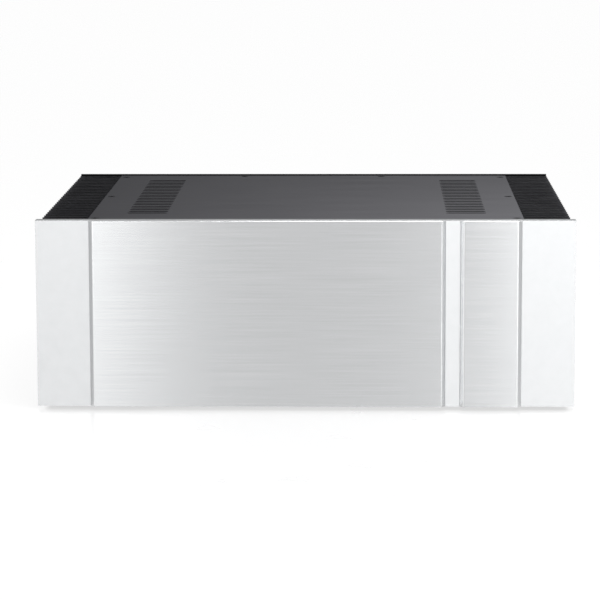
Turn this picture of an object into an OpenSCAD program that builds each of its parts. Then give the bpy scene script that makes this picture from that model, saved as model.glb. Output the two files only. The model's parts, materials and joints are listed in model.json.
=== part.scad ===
// Power amplifier with side heatsinks. The front faces -Y, +X is to the right and +Z is up.
// The origin is the centre of the footprint, on the surface that the feet stand on.
// "Depth" in a name is a distance behind the front panel's front face.

/* [Front panel] */
// Width of the front panel
panel_w = 430; // [400:1:520]
// Height of the front panel
panel_h = 150; // [140:1:190]
// Thickness of the front panel
panel_t = 10; // [8:0.5:14]
// Thickness of the raised fascia plates
fascia_t = 3.5; // [3:0.5:6]
// Width of the sloped edge of a fascia plate
fascia_bevel = 3.2; // [1:0.1:5]
// Width of the small fascia plate
small_fascia_w = 49.6; // [40:0.2:70]
// Width of the groove between the fascia plates
groove_w = 11; // [6:0.5:16]
// How far the fascia plates stop short of the heatsink webs' outer faces
fascia_setback = 2.4; // [1:0.1:4]

/* [Case] */
// Depth of the case, from the front panel's face to the rear panel's outer face
case_depth = 342; // [335:1:430]
// Thickness of the rear panel
rear_t = 4; // [3:0.5:6]
// How far the front panel overhangs the fin tips on each side
side_overhang = 3; // [1:0.5:8]
// How far the front panel stands above the top cover
top_overhang = 1; // [0.5:0.5:4]
// How far the front panel hangs below the bottom plate
bottom_overhang = 3; // [1:0.5:4]
// Thickness of the top cover
cover_t = 3; // [2.5:0.5:4]
// Thickness of the bottom plate
bottom_t = 2; // [1.5:0.5:3]
// Gap round a plate that lies in a rebate
plate_gap = 0.3; // [0.1:0.1:0.6]
// Height of a foot
foot_h = 6; // [5:0.5:12]
// Diameter of a foot
foot_d = 30; // [24:1:32]
// Distance of a foot's centre from the bottom plate's side edge
foot_side_inset = 35; // [26:1:60]
// Distance of a foot's centre from the front or the rear panel
foot_end_inset = 22; // [18:1:24]

/* [Heatsinks] */
// Thickness of the web that the fins stand on
web_t = 10; // [8:0.5:14]
// Length of the fins
fin_len = 37; // [25:1:45]
// Distance from one fin to the next
fin_pitch = 11.7; // [9:0.1:16]
// Thickness of a fin at its root
fin_root_t = 4; // [3:0.1:5]
// Thickness of a fin at its tip
fin_tip_t = 3; // [2:0.1:4]

/* [Vents] */
// Length of a vent slot
vent_len = 32.5; // [20:0.5:40]
// Width of a vent slot
vent_w = 4.7; // [3:0.1:6]
// Distance from one vent slot to the next
vent_pitch = 11.4; // [8:0.1:12]
// Number of slots in a row of vents
vent_count = 22; // [10:1:24]
// Distance from the cover's side edge to the outer end of the slots
vent_inset = 29; // [20:0.5:40]
// Shift of the vents towards the rear, from the middle of the cover
vent_shift = 3; // [0:0.5:8]

/* [Fasteners] */
// Shank diameter of the small screws
screw_d = 3; // [2.5:0.5:3]
// Head diameter of the small countersunk screws
sunk_head_d = 6.3; // [6:0.1:7]
// Head diameter of the small pan-head screws
pan_head_d = 5.6; // [5:0.1:6]
// Head height of the small pan-head screws
pan_head_h = 2; // [1.5:0.1:2.5]
// Shank diameter of the front panel's bolts
bolt_d = 4; // [4:0.5:5]
// Head diameter of the front panel's bolts
bolt_head_d = 8; // [7.5:0.1:8]
// Radial clearance of a screw in its hole
screw_fit = 0.05; // [0.02:0.01:0.1]
// Distance of the end screws of the cover from the front and the rear panel
cover_screw_end = 14; // [10:1:24]
// Distance of the cover's side screws from its side edges
cover_screw_side = 5.5; // [4.5:0.1:6]
// Distance of the cover's two rear screws from the rear panel
rear_screw_inset = 7; // [6:0.5:8]
// Distance of the cover's two rear screws from the middle
rear_screw_x = 62; // [50:1:90]

/* [Power supply] */
// Diameter of the toroidal transformer
transformer_d = 150; // [120:1:155]
// Height of the toroidal transformer
transformer_h = 65; // [45:1:70]
// Diameter of the transformer's centre hole
transformer_bore = 45; // [30:1:60]
// Thickness of the transformer's rubber pads
pad_t = 3; // [2:0.5:4]
// Gap between the transformer and the front panel
transformer_gap = 16; // [14:1:20]
// Diameter of a filter capacitor
capacitor_d = 40; // [30:1:42]
// Height of a filter capacitor
capacitor_h = 70; // [50:1:85]
// Height of the pillars under the supply board
supply_pillar_h = 8; // [6:1:12]
// Thickness of a circuit board
board_t = 1.6; // [1.2:0.1:2.4]

/* [Amplifier boards] */
// Length of an amplifier board
amp_board_l = 236; // [200:1:250]
// Number of output transistors on a heatsink
transistor_count = 6; // [4:1:6]
// Distance from one output transistor to the next
transistor_pitch = 38; // [30:1:40]
// Height of the middle of the output transistors above the bottom plate
transistor_rise = 30; // [28:1:40]

/* [Rear connectors] */
// Height of the speaker posts above the bottom plate
post_rise = 42; // [35:1:60]
// Distance of a pair of speaker posts from the middle
post_pair_x = 132; // [110:1:136]
// Distance between the two posts of a pair
post_spacing = 19; // [18:0.5:24]
// Diameter of the plug bore of a speaker post
post_bore_d = 4; // [4:0.05:4.2]
// How far a post's cap can be unscrewed
post_travel = 4.5; // [3:0.5:5]
// Height of the input sockets above the bottom plate
input_rise = 98; // [85:1:105]
// Distance of an input socket from the middle
input_x = 100; // [80:1:120]
// Height of the mains inlet above the bottom plate
inlet_rise = 44; // [38:1:60]
// Distance of the power switch from the middle
switch_x = 46; // [42:1:70]
// How far the fuse drawer pulls out
drawer_travel = 18; // [14:1:19]
// How far an input latch can be pressed
latch_travel = 2; // [1:0.5:2]
// Angle between the power rocker's two positions
rocker_throw = 24; // [18:1:26]

/* [Hidden] */
$fn = 64;

// Speaker post, measured outwards from the rear panel's outer face
post_flange_d = 16;
post_flange_t = 4;
post_seat_t = 1.5;
post_seat_d = 10;
post_collar_t = 1.5;
post_collar_d = 12;
post_cap_d = 15;
post_cap_grip = 12.5;
post_cap_l = post_travel + post_cap_grip;
post_end_recess = 1;
post_stud_d = 6;
post_fit = 0.05;
post_hole_d = 10;
post_washer_t = 3;
post_nut_t = 5;
post_plug_depth = 14;
post_reach = post_flange_t + post_seat_t + post_collar_t + post_cap_l;

// Overall frame
total_depth = fascia_t + case_depth + post_reach;
face_y = fascia_t - total_depth / 2;
inner_front_y = face_y + panel_t;
rear_y = face_y + case_depth;
inner_rear_y = rear_y - rear_t;
inner_mid_y = (inner_front_y + inner_rear_y) / 2;
inner_len = inner_rear_y - inner_front_y;
case_z = foot_h;
panel_z = case_z - bottom_overhang;
case_top = panel_z + panel_h - top_overhang;
case_h = case_top - case_z;
floor_z = case_z + bottom_t;
cover_z = case_top - cover_t;
fin_tip_x = panel_w / 2 - side_overhang;
web_out_x = fin_tip_x - fin_len;
web_in_x = web_out_x - web_t;
fascia_x = web_out_x - fascia_setback;
SIDES = [-1, 1];

// Screw places
tap_depth = 6;
panel_bolt_x = fascia_x - bolt_head_d / 2 - 0.6;
panel_bolt_l = panel_t + 12;
fastener_rows = [0.17, 0.5, 0.83];
fascia_screw_tip = fascia_t - 1;
main_fascia_right = fascia_x - small_fascia_w - groove_w;
main_fascia_mid = (main_fascia_right - fascia_x) / 2;
main_screw_spread = (main_fascia_right + fascia_x) / 2 - 22;
small_fascia_mid = fascia_x - small_fascia_w / 2;
cover_screw_x = web_out_x - cover_screw_side;
cover_screw_ys = [inner_front_y + cover_screw_end, inner_mid_y, inner_rear_y - cover_screw_end];
rear_screw_y = inner_rear_y - rear_screw_inset;
cover_screw_places = concat(
    [for (s = SIDES, y = cover_screw_ys) [s * cover_screw_x, y]],
    [for (s = SIDES) [s * rear_screw_x, rear_screw_y]]
);
side_screw_places = [for (s = SIDES, y = cover_screw_ys) [s * cover_screw_x, y]];
block_size = [22, 2 * rear_screw_inset - 1, 18];
block_screw_z = cover_z - 12.5;

// Feet
foot_screw_d = 4;
foot_screw_head_d = 8;
foot_screw_head_h = 2.2;
foot_recess_h = 3.4;
foot_taper = 2;
foot_places = [
    for (s = SIDES, y = [inner_front_y + foot_end_inset, inner_rear_y - foot_end_inset])
        [s * (web_out_x - foot_side_inset), y]
];

// Power supply
transformer_y = inner_front_y + transformer_gap + transformer_d / 2;
transformer_z = floor_z + pad_t;
transformer_top = transformer_z + transformer_h + pad_t;
transformer_edge = 12;
pad_inset = 6;
washer_d = 96;
washer_t = 3;
bolt_shank_d = 8;
bolt_cap_d = 16;
bolt_cap_h = 3.5;
bolt_nut_w = 13;
bolt_nut_h = 6.5;
rectifier_w = 28;
rectifier_h = 10;
rectifier_x = 100;
rectifier_y = inner_front_y + 26;
supply_w = 212;
supply_l = 104;
rear_space = 38;
supply_rear_y = inner_rear_y - rear_space;
supply_y = supply_rear_y - supply_l / 2;
supply_z = floor_z + supply_pillar_h;
capacitor_pitch = capacitor_d + 6;
capacitor_columns = 4;
capacitor_rows = 2;
pillar_w = 6;
supply_pillar_places = [
    for (x = [-1, 0, 1], y = SIDES) [x * (supply_w / 2 - 6), supply_y + y * (supply_l / 2 - 5)]
];

// Amplifier boards
amp_pillar_l = 12;
amp_board_x = web_in_x - amp_pillar_l;
amp_board_z = floor_z + transistor_rise + 24;
amp_board_h = cover_z - 8 - amp_board_z;
amp_board_front_y = inner_mid_y - amp_board_l / 2;
amp_pillar_places = [
    for (y = [-1, 0, 1], z = [0, 1])
        [inner_mid_y + y * (amp_board_l / 2 - 8), amp_board_z + 8 + z * (amp_board_h - 16)]
];
insulator_t = 0.5;
transistor_size = [5, 20, 26];
transistor_z = floor_z + transistor_rise;
transistor_ys = [
    for (i = [0 : transistor_count - 1])
        inner_mid_y + (i - (transistor_count - 1) / 2) * transistor_pitch
];
resistor_size = [7, 20, 7];
resistor_z = amp_board_z + 20;

// Rear connectors
post_z = case_z + post_rise;
post_xs = [
    for (s = SIDES, k = SIDES) s * post_pair_x + k * post_spacing / 2
];
input_z = case_z + input_rise;
inlet_z = case_z + inlet_rise;
input_flange = [26, 31];
input_flange_t = 2;
input_shell_d = 23.6;
input_bore_d = 19.4;
input_shell_l = 22;
input_bore_l = 16;
input_insert_d = 15.2;
input_insert_l = 15;
input_pin_hole_d = 2.6;
input_pin_circle_d = 7.8;
input_screw_x = 9.5;
input_screw_z = 12;
latch_size = [8, 8, 2];
latch_end = input_flange_t + latch_travel + 1;
latch_rise = 12.5;
latch_gap = 0.3;
inlet_flange = [50, 42];
inlet_flange_t = 3;
inlet_body = [30, 36];
inlet_body_l = 22;
inlet_cavity = [24.5, 17];
inlet_cavity_corner = 5;
inlet_cavity_l = 17;
inlet_cavity_z = 7;
inlet_pin = [2, 4];
inlet_pin_l = 15;
inlet_pin_spread = 7;
inlet_pin_rise = 2;
inlet_tab = [6.3, 0.8];
inlet_tab_l = 9;
inlet_screw_x = 20;
drawer_keep = 2;
drawer_size = [25, drawer_travel + drawer_keep, 8.4];
drawer_gap = 0.3;
drawer_z = -11.2;
drawer_lip = [27, 1.6, 10];
fuse_d = 5.2;
fuse_l = 20;
switch_z = inlet_z;
switch_flange = [17, 23];
switch_flange_t = 2;
switch_body = [13, 19.4];
switch_body_l = 16;
switch_opening = [11.4, 17.8];
switch_opening_l = 12;
rocker_w = 10.6;
rocker_half = 7.4;
rocker_rise = 5;
rocker_dip = 3.4;
rocker_pin_d = 3;
rocker_pin_fit = 0.05;
pivot_out = -1.5;
cut = 1;

// ---------- Shared shapes ----------

// Places its child in the rear panel's frame: the child's +Z points out of the back, its +Y is up
module on_rear(x, z) {
    translate([x, rear_y, z])
        rotate([-90, 180, 0])
            children();
}

// A screw whose cone head ends flush at z = 0, with a hexagon socket
module sunk_screw(d, head_d, length) {
    cone_h = (head_d - d) / 2;
    difference() {
        union() {
            translate([0, 0, -cone_h])
                cylinder(h = cone_h, d1 = d, d2 = head_d);
            translate([0, 0, -length])
                cylinder(h = length - cone_h, d = d);
        }
        translate([0, 0, -cone_h * 0.8])
            cylinder(h = cone_h, d = d * 0.75, $fn = 6);
    }
}

// The hole that a sunk_screw sits in
module sunk_hole(d, head_d, length) {
    cone_h = (head_d - d) / 2;
    translate([0, 0, -cone_h])
        cylinder(h = cone_h, d1 = d + 2 * screw_fit, d2 = head_d + 2 * screw_fit);
    cylinder(h = cut, d = head_d + 2 * screw_fit);
    translate([0, 0, -length])
        cylinder(h = length, d = d + 2 * screw_fit);
}

// A screw whose flat head stands on z = 0, with a hexagon socket
module pan_screw(d, head_d, head_h, length) {
    difference() {
        union() {
            cylinder(h = head_h, d = head_d);
            translate([0, 0, -length])
                cylinder(h = length, d = d);
        }
        translate([0, 0, head_h * 0.4])
            cylinder(h = head_h, d = d * 0.75, $fn = 6);
    }
}

module small_pan_screw(length) {
    pan_screw(screw_d, pan_head_d, pan_head_h, length);
}

// A hole that runs down from z = 0, a little above it too when it is open at the top
module drill(d, length, above = cut) {
    translate([0, 0, -length])
        cylinder(h = length + above, d = d + 2 * screw_fit);
}

module ring(outer_d, inner_d, h) {
    difference() {
        cylinder(h = h, d = outer_d);
        translate([0, 0, -cut])
            cylinder(h = h + 2 * cut, d = inner_d);
    }
}

module centred_box(size) {
    translate([-size[0] / 2, -size[1] / 2, 0])
        cube(size);
}

module vent_slot(h) {
    straight = vent_len - vent_w;
    translate([-straight / 2, -vent_w / 2, 0])
        cube([straight, vent_w, h]);
    for (s = SIDES)
        translate([s * straight / 2, 0, 0])
            cylinder(h = h, d = vent_w, $fn = 24);
}

// Both rows of vent slots, cut through a plate from z down to z - thickness
module vent_rows(z, thickness) {
    for (s = SIDES, i = [0 : vent_count - 1])
        translate([
            s * (web_out_x - vent_inset - vent_len / 2),
            inner_mid_y + vent_shift + (i - (vent_count - 1) / 2) * vent_pitch,
            z - thickness - cut
        ])
            vent_slot(thickness + 2 * cut);
}

// ---------- Places of the fasteners ----------

module panel_bolt_places() {
    for (s = SIDES, k = fastener_rows)
        translate([s * panel_bolt_x, face_y, panel_z + k * panel_h])
            rotate([90, 0, 0])
                children();
}

module fascia_screw_places() {
    rows = [fastener_rows[0], fastener_rows[2]];
    columns = [main_fascia_mid - main_screw_spread, main_fascia_mid,
               main_fascia_mid + main_screw_spread, small_fascia_mid];
    for (x = columns, k = rows)
        translate([x, inner_front_y, panel_z + k * panel_h])
            rotate([-90, 0, 0])
                children();
}

module rear_web_screw_places() {
    for (s = SIDES, k = fastener_rows)
        translate([s * (web_in_x + web_t / 2), rear_y, panel_z + k * panel_h])
            rotate([-90, 0, 0])
                children();
}

module block_screw_places() {
    for (s = SIDES)
        translate([s * rear_screw_x, rear_y, block_screw_z])
            rotate([-90, 0, 0])
                children();
}

module bottom_screw_places() {
    for (p = side_screw_places)
        translate([p[0], p[1], case_z])
            rotate([180, 0, 0])
                children();
}

module foot_screw_places() {
    for (p = foot_places)
        translate([p[0], p[1], foot_recess_h])
            rotate([180, 0, 0])
                children();
}

module transistor_screw_places() {
    for (s = SIDES, y = transistor_ys)
        translate([s * (web_in_x - insulator_t - transistor_size[0]), y, transistor_z])
            rotate([0, -s * 90, 0])
                children();
}

module amp_board_screw_places() {
    for (s = SIDES, p = amp_pillar_places)
        translate([s * (amp_board_x - board_t), p[0], p[1]])
            rotate([0, -s * 90, 0])
                children();
}

module supply_board_screw_places() {
    for (p = supply_pillar_places)
        translate([p[0], p[1], supply_z + board_t])
            children();
}

module rectifier_screw_places() {
    for (s = SIDES)
        translate([s * rectifier_x, rectifier_y, floor_z + rectifier_h])
            children();
}

// ---------- Case ----------

module front_panel() {
    color("gainsboro")
        difference() {
            translate([-panel_w / 2, face_y, panel_z])
                cube([panel_w, panel_t, panel_h]);
            panel_bolt_places()
                sunk_hole(bolt_d, bolt_head_d, panel_t + cut);
            fascia_screw_places()
                drill(screw_d, panel_t + cut);
        }
}

// A raised plate with its two side edges sloped back to the panel
module fascia_plate(left, right) {
    difference() {
        translate([0, 0, panel_z])
            linear_extrude(panel_h)
                polygon([
                    [left, face_y],
                    [left + fascia_bevel, face_y - fascia_t],
                    [right - fascia_bevel, face_y - fascia_t],
                    [right, face_y]
                ]);
        fascia_screw_places()
            drill(screw_d, panel_t + fascia_screw_tip + 0.2);
    }
}

module main_fascia() {
    color("silver")
        fascia_plate(-fascia_x, main_fascia_right);
}

module small_fascia() {
    color("silver")
        fascia_plate(fascia_x - small_fascia_w, fascia_x);
}

module panel_bolts() {
    color("dimgray")
        panel_bolt_places()
            sunk_screw(bolt_d, bolt_head_d, panel_bolt_l);
}

module fascia_screws() {
    color("dimgray")
        fascia_screw_places()
            small_pan_screw(panel_t + fascia_screw_tip);
}

// The extruded section of the right heatsink: a web with tapered fins, seen from above
function fin_ys() =
    let (count = floor((inner_len - fin_root_t) / fin_pitch) + 1)
    [for (i = [0 : count - 1]) inner_mid_y + (i - (count - 1) / 2) * fin_pitch];

function fin_outline(y) = [
    [web_out_x, y - fin_root_t / 2], [fin_tip_x, y - fin_tip_t / 2],
    [fin_tip_x, y + fin_tip_t / 2], [web_out_x, y + fin_root_t / 2]
];

function heatsink_outline() = concat(
    [[web_in_x, inner_front_y], [web_out_x, inner_front_y]],
    [for (y = fin_ys(), p = fin_outline(y)) p],
    [[web_out_x, inner_rear_y], [web_in_x, inner_rear_y]]
);

module heatsink_blank() {
    translate([0, 0, case_z])
        linear_extrude(case_h)
            polygon(heatsink_outline());
}

// The rebates that the top cover and the bottom plate lie in
module plate_rebates() {
    for (z = [[cover_z, cover_t + cut], [case_z - cut, bottom_t + cut]])
        translate([web_in_x - cut, inner_front_y - cut, z[0]])
            cube([web_t + cut, inner_len + 2 * cut, z[1]]);
}

module heatsink(side) {
    difference() {
        mirror([side < 0 ? 1 : 0, 0, 0])
            difference() {
                heatsink_blank();
                plate_rebates();
            }
        panel_bolt_places()
            drill(bolt_d, panel_bolt_l + cut);
        rear_web_screw_places()
            drill(screw_d, rear_t + tap_depth + cut);
        for (p = side_screw_places) {
            translate([p[0], p[1], case_top])
                drill(screw_d, cover_t + tap_depth + cut);
            translate([p[0], p[1], case_z])
                rotate([180, 0, 0])
                    drill(screw_d, bottom_t + tap_depth + cut);
        }
        transistor_screw_places()
            drill(screw_d, transistor_size[0] + insulator_t + tap_depth + cut);
        for (s = SIDES, p = amp_pillar_places)
            translate([s * web_in_x, p[0], p[1]])
                rotate([0, -s * 90, 0])
                    drill(screw_d, tap_depth);
    }
}

module left_heatsink() {
    color("dimgray")
        heatsink(-1);
}

module right_heatsink() {
    color("dimgray")
        heatsink(1);
}

module rebate_plate(z, thickness) {
    translate([-web_out_x + plate_gap, inner_front_y + plate_gap, z])
        cube([2 * (web_out_x - plate_gap), inner_len - 2 * plate_gap, thickness]);
}

module top_cover() {
    color("gray")
        difference() {
            rebate_plate(cover_z, cover_t);
            vent_rows(case_top, cover_t);
            for (p = cover_screw_places)
                translate([p[0], p[1], case_top])
                    sunk_hole(screw_d, sunk_head_d, cover_t + cut);
        }
}

module cover_screws() {
    color("black")
        for (p = cover_screw_places)
            translate([p[0], p[1], case_top])
                sunk_screw(screw_d, sunk_head_d, cover_t + tap_depth);
}

// Two blocks on the rear panel that hold down the cover's rear edge
module cover_blocks() {
    color("silver")
        difference() {
            for (s = SIDES)
                translate([s * rear_screw_x - block_size[0] / 2, inner_rear_y - block_size[1],
                           cover_z - block_size[2]])
                    cube(block_size);
            for (s = SIDES)
                translate([s * rear_screw_x, rear_screw_y, case_top])
                    drill(screw_d, cover_t + tap_depth + cut);
            block_screw_places()
                drill(screw_d, rear_t + tap_depth + cut);
        }
}

module bottom_plate() {
    color("darkgray")
        difference() {
            rebate_plate(case_z, bottom_t);
            vent_rows(floor_z, bottom_t);
            bottom_screw_places()
                drill(screw_d, bottom_t + cut);
            foot_screw_places()
                drill(foot_screw_d, foot_h - foot_recess_h + bottom_t + cut);
            translate([0, transformer_y, floor_z])
                drill(bolt_shank_d, bottom_t + cut);
            supply_board_screw_places()
                drill(screw_d, supply_pillar_h + board_t + bottom_t + cut);
            rectifier_screw_places()
                drill(screw_d, rectifier_h + bottom_t + cut);
        }
}

module bottom_screws() {
    color("black")
        bottom_screw_places()
            small_pan_screw(bottom_t + tap_depth);
}

module rear_panel() {
    color("gray")
        difference() {
            translate([-fin_tip_x, inner_rear_y, panel_z])
                cube([2 * fin_tip_x, rear_t, panel_h]);
            rear_web_screw_places()
                drill(screw_d, rear_t + cut);
            block_screw_places()
                drill(screw_d, rear_t + cut);
            for (x = post_xs)
                on_rear(x, post_z)
                    drill(post_hole_d, rear_t + cut);
            for (s = SIDES)
                on_rear(s * input_x, input_z) {
                    drill(input_shell_d, rear_t + cut);
                    latch_slot();
                    input_screw_holes();
                }
            on_rear(0, inlet_z) {
                translate([0, 0, -rear_t - cut])
                    centred_box([inlet_body[0] + 2 * screw_fit, inlet_body[1] + 2 * screw_fit,
                                 rear_t + 2 * cut]);
                inlet_screw_places()
                    drill(screw_d, rear_t + inlet_flange_t + cut);
            }
            on_rear(switch_x, switch_z)
                translate([0, 0, -rear_t - cut])
                    centred_box([switch_body[0] + 2 * screw_fit, switch_body[1] + 2 * screw_fit,
                                 rear_t + 2 * cut]);
        }
}

module rear_panel_screws() {
    color("black") {
        rear_web_screw_places()
            small_pan_screw(rear_t + tap_depth);
        block_screw_places()
            small_pan_screw(rear_t + tap_depth);
    }
}

module feet() {
    color("black")
        for (p = foot_places)
            translate([p[0], p[1], 0])
                difference() {
                    cylinder(h = foot_h, d1 = foot_d - foot_taper, d2 = foot_d);
                    translate([0, 0, -cut])
                        cylinder(h = foot_recess_h + cut, d = foot_screw_head_d + 2);
                    cylinder(h = foot_h + cut, d = foot_screw_d + 2 * screw_fit);
                }
}

module foot_screws() {
    color("silver")
        foot_screw_places()
            pan_screw(foot_screw_d, foot_screw_head_d, foot_screw_head_h,
                      foot_h - foot_recess_h + bottom_t + 2);
}

// ---------- Power supply ----------

module at_transformer(z) {
    translate([0, transformer_y, z])
        children();
}

module transformer_pad(z) {
    at_transformer(z)
        ring(transformer_d - 2 * pad_inset, transformer_bore + 2 * pad_inset, pad_t);
}

module transformer_lower_pad() {
    color("black")
        transformer_pad(floor_z);
}

module transformer_upper_pad() {
    color("black")
        transformer_pad(transformer_z + transformer_h);
}

// The wound ring, with rounded edges
module transformer() {
    wall = (transformer_d - transformer_bore) / 2;
    r = transformer_edge;
    color("goldenrod")
        at_transformer(transformer_z)
            rotate_extrude($fn = 96)
                translate([transformer_bore / 2, 0]) {
                    translate([r, 0])
                        square([wall - 2 * r, transformer_h]);
                    translate([0, r])
                        square([wall, transformer_h - 2 * r]);
                    for (x = [r, wall - r], z = [r, transformer_h - r])
                        translate([x, z])
                            circle(r = r);
                }
}

module transformer_washer() {
    color("silver")
        at_transformer(transformer_top)
            ring(washer_d, bolt_shank_d + 2 * screw_fit, washer_t);
}

module transformer_bolt() {
    color("silver")
        at_transformer(case_z)
            rotate([180, 0, 0])
                pan_screw(bolt_shank_d, bolt_cap_d, bolt_cap_h,
                          transformer_top + washer_t + bolt_nut_h + 4 - case_z);
}

module transformer_nut() {
    color("silver")
        at_transformer(transformer_top + washer_t)
            hex_nut(bolt_nut_w, bolt_shank_d, bolt_nut_h);
}

// A nut given by its width across the flats
module hex_nut(across, bore, h) {
    difference() {
        cylinder(h = h, d = across / cos(30), $fn = 6);
        translate([0, 0, -cut])
            cylinder(h = h + 2 * cut, d = bore + 2 * screw_fit);
    }
}

// Two bridge rectifiers, each a square block with four spade terminals
module rectifiers() {
    tab = [6.3, 0.8, 9];
    color("darkslategray")
        for (s = SIDES)
            translate([s * rectifier_x, rectifier_y, floor_z])
                difference() {
                    union() {
                        centred_box([rectifier_w, rectifier_w, rectifier_h]);
                        for (x = SIDES, y = SIDES)
                            translate([x * 9, y * 9, rectifier_h])
                                centred_box(tab);
                    }
                    translate([0, 0, rectifier_h])
                        drill(screw_d, rectifier_h + cut);
                }
}

module supply_board() {
    color("green")
        difference() {
            translate([-supply_w / 2, supply_y - supply_l / 2, supply_z])
                cube([supply_w, supply_l, board_t]);
            supply_board_screw_places()
                drill(screw_d, board_t + cut);
        }
}

module filter_capacitors() {
    color("navy")
        for (i = [0 : capacitor_columns - 1], j = [0 : capacitor_rows - 1])
            translate([
                (i - (capacitor_columns - 1) / 2) * capacitor_pitch,
                supply_y + (j - (capacitor_rows - 1) / 2) * capacitor_pitch,
                supply_z + board_t
            ])
                difference() {
                    cylinder(h = capacitor_h, d = capacitor_d);
                    translate([0, 0, capacitor_h - 1])
                        cylinder(h = 2, d = capacitor_d - 3);
                }
}

// ---------- Amplifier boards ----------

module amp_board(side) {
    x = side > 0 ? amp_board_x - board_t : -amp_board_x;
    difference() {
        translate([x, amp_board_front_y, amp_board_z])
            cube([board_t, amp_board_l, amp_board_h]);
        amp_board_screw_places()
            drill(screw_d, board_t + cut);
    }
}

module left_amp_board() {
    color("green")
        amp_board(-1);
}

module right_amp_board() {
    color("green")
        amp_board(1);
}

// Flat power transistors on the webs, their legs bent across to the boards
module output_transistors() {
    leg_w = 1.2;
    leg_t = 0.8;
    leg_pitch = 5.5;
    leg_x = web_in_x - insulator_t - transistor_size[0] + 1.5;
    bend_z = amp_board_z + 4;
    body_top = transistor_z + transistor_size[2] / 2;
    color("black")
        difference() {
            for (s = SIDES, y = transistor_ys)
                mirror([s < 0 ? 1 : 0, 0, 0]) {
                    translate([web_in_x - insulator_t - transistor_size[0],
                               y - transistor_size[1] / 2, transistor_z - transistor_size[2] / 2])
                        cube(transistor_size);
                    for (k = [-1, 0, 1])
                        translate([0, y + k * leg_pitch - leg_w / 2, 0]) {
                            translate([leg_x, 0, body_top])
                                cube([leg_t, leg_w, bend_z + leg_t - body_top]);
                            translate([amp_board_x, 0, bend_z])
                                cube([leg_x + leg_t - amp_board_x, leg_w, leg_t]);
                        }
                }
            transistor_screw_places()
                drill(screw_d, transistor_size[0] + cut);
        }
}

module transistor_insulators() {
    rim = 1;
    color("lightblue")
        difference() {
            for (s = SIDES, y = transistor_ys)
                mirror([s < 0 ? 1 : 0, 0, 0])
                    translate([web_in_x - insulator_t, y - transistor_size[1] / 2 - rim,
                               transistor_z - transistor_size[2] / 2 - rim])
                        cube([insulator_t, transistor_size[1] + 2 * rim,
                              transistor_size[2] + 2 * rim]);
            transistor_screw_places()
                drill(screw_d, transistor_size[0] + insulator_t + cut);
        }
}

module device_screws() {
    color("silver") {
        transistor_screw_places()
            small_pan_screw(transistor_size[0] + insulator_t + tap_depth);
        rectifier_screw_places()
            small_pan_screw(rectifier_h + bottom_t);
    }
}

module emitter_resistors() {
    color("white")
        for (s = SIDES, y = transistor_ys)
            mirror([s < 0 ? 1 : 0, 0, 0])
                translate([amp_board_x - board_t - resistor_size[0],
                           y - resistor_size[1] / 2, resistor_z])
                    cube(resistor_size);
}

// Hexagon pillars under the supply board and behind the amplifier boards
module board_pillars() {
    across = pillar_w / cos(30);
    color("gold")
        difference() {
            union() {
                for (p = supply_pillar_places) {
                    translate([p[0], p[1], floor_z])
                        cylinder(h = supply_pillar_h, d = across, $fn = 6);
                    translate([p[0], p[1], case_z])
                        cylinder(h = bottom_t + 1, d = screw_d);
                }
                for (s = SIDES, p = amp_pillar_places)
                    translate([s * amp_board_x, p[0], p[1]])
                        rotate([0, s * 90, 0]) {
                            cylinder(h = amp_pillar_l, d = across, $fn = 6);
                            cylinder(h = amp_pillar_l + tap_depth - 1, d = screw_d);
                        }
            }
            supply_board_screw_places()
                drill(screw_d, board_t + tap_depth);
            amp_board_screw_places()
                drill(screw_d, board_t + tap_depth);
        }
}

module board_screws() {
    color("silver") {
        supply_board_screw_places()
            small_pan_screw(board_t + tap_depth - 1);
        amp_board_screw_places()
            small_pan_screw(board_t + tap_depth - 1);
    }
}

// ---------- Mains inlet and power switch ----------

module inlet_screw_places() {
    for (s = SIDES)
        translate([s * inlet_screw_x, 0, inlet_flange_t])
            children();
}

module inlet_cavity_shape() {
    w = inlet_cavity[0] / 2;
    h = inlet_cavity[1] / 2;
    c = inlet_cavity_corner;
    polygon([[-w, -h], [w, -h], [w, h - c], [w - c, h], [c - w, h], [-w, h - c]]);
}

// Three-pin inlet with a slot for the fuse drawer under the cavity
module mains_inlet() {
    slot = [drawer_size[0] + 2 * drawer_gap, drawer_size[2] + 2 * drawer_gap];
    color("black")
        on_rear(0, inlet_z)
            difference() {
                union() {
                    centred_box([inlet_flange[0], inlet_flange[1], inlet_flange_t]);
                    translate([0, 0, -inlet_body_l])
                        centred_box([inlet_body[0], inlet_body[1], inlet_body_l]);
                }
                translate([0, inlet_cavity_z, inlet_flange_t - inlet_cavity_l])
                    linear_extrude(inlet_cavity_l + cut)
                        inlet_cavity_shape();
                translate([0, drawer_z, inlet_flange_t - drawer_size[1] - drawer_gap])
                    centred_box([slot[0], slot[1], drawer_size[1] + drawer_gap + cut]);
                inlet_screw_places()
                    drill(screw_d, inlet_flange_t + cut);
            }
}

// The three contact pins in the cavity and the three spade tabs behind the inlet
module mains_pins() {
    places = [
        [-inlet_pin_spread, -inlet_pin_rise], [inlet_pin_spread, -inlet_pin_rise],
        [0, inlet_pin_rise]
    ];
    color("silver")
        on_rear(0, inlet_z)
            for (p = places)
                translate([p[0], inlet_cavity_z + p[1], 0]) {
                    translate([0, 0, inlet_flange_t - inlet_cavity_l])
                        centred_box([inlet_pin[0], inlet_pin[1], inlet_pin_l]);
                    translate([0, 0, -inlet_body_l - inlet_tab_l])
                        centred_box([inlet_tab[1], inlet_tab[0], inlet_tab_l]);
                }
}

module inlet_screws() {
    color("black")
        on_rear(0, inlet_z)
            inlet_screw_places()
                small_pan_screw(inlet_flange_t + rear_t + 2);
}

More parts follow.
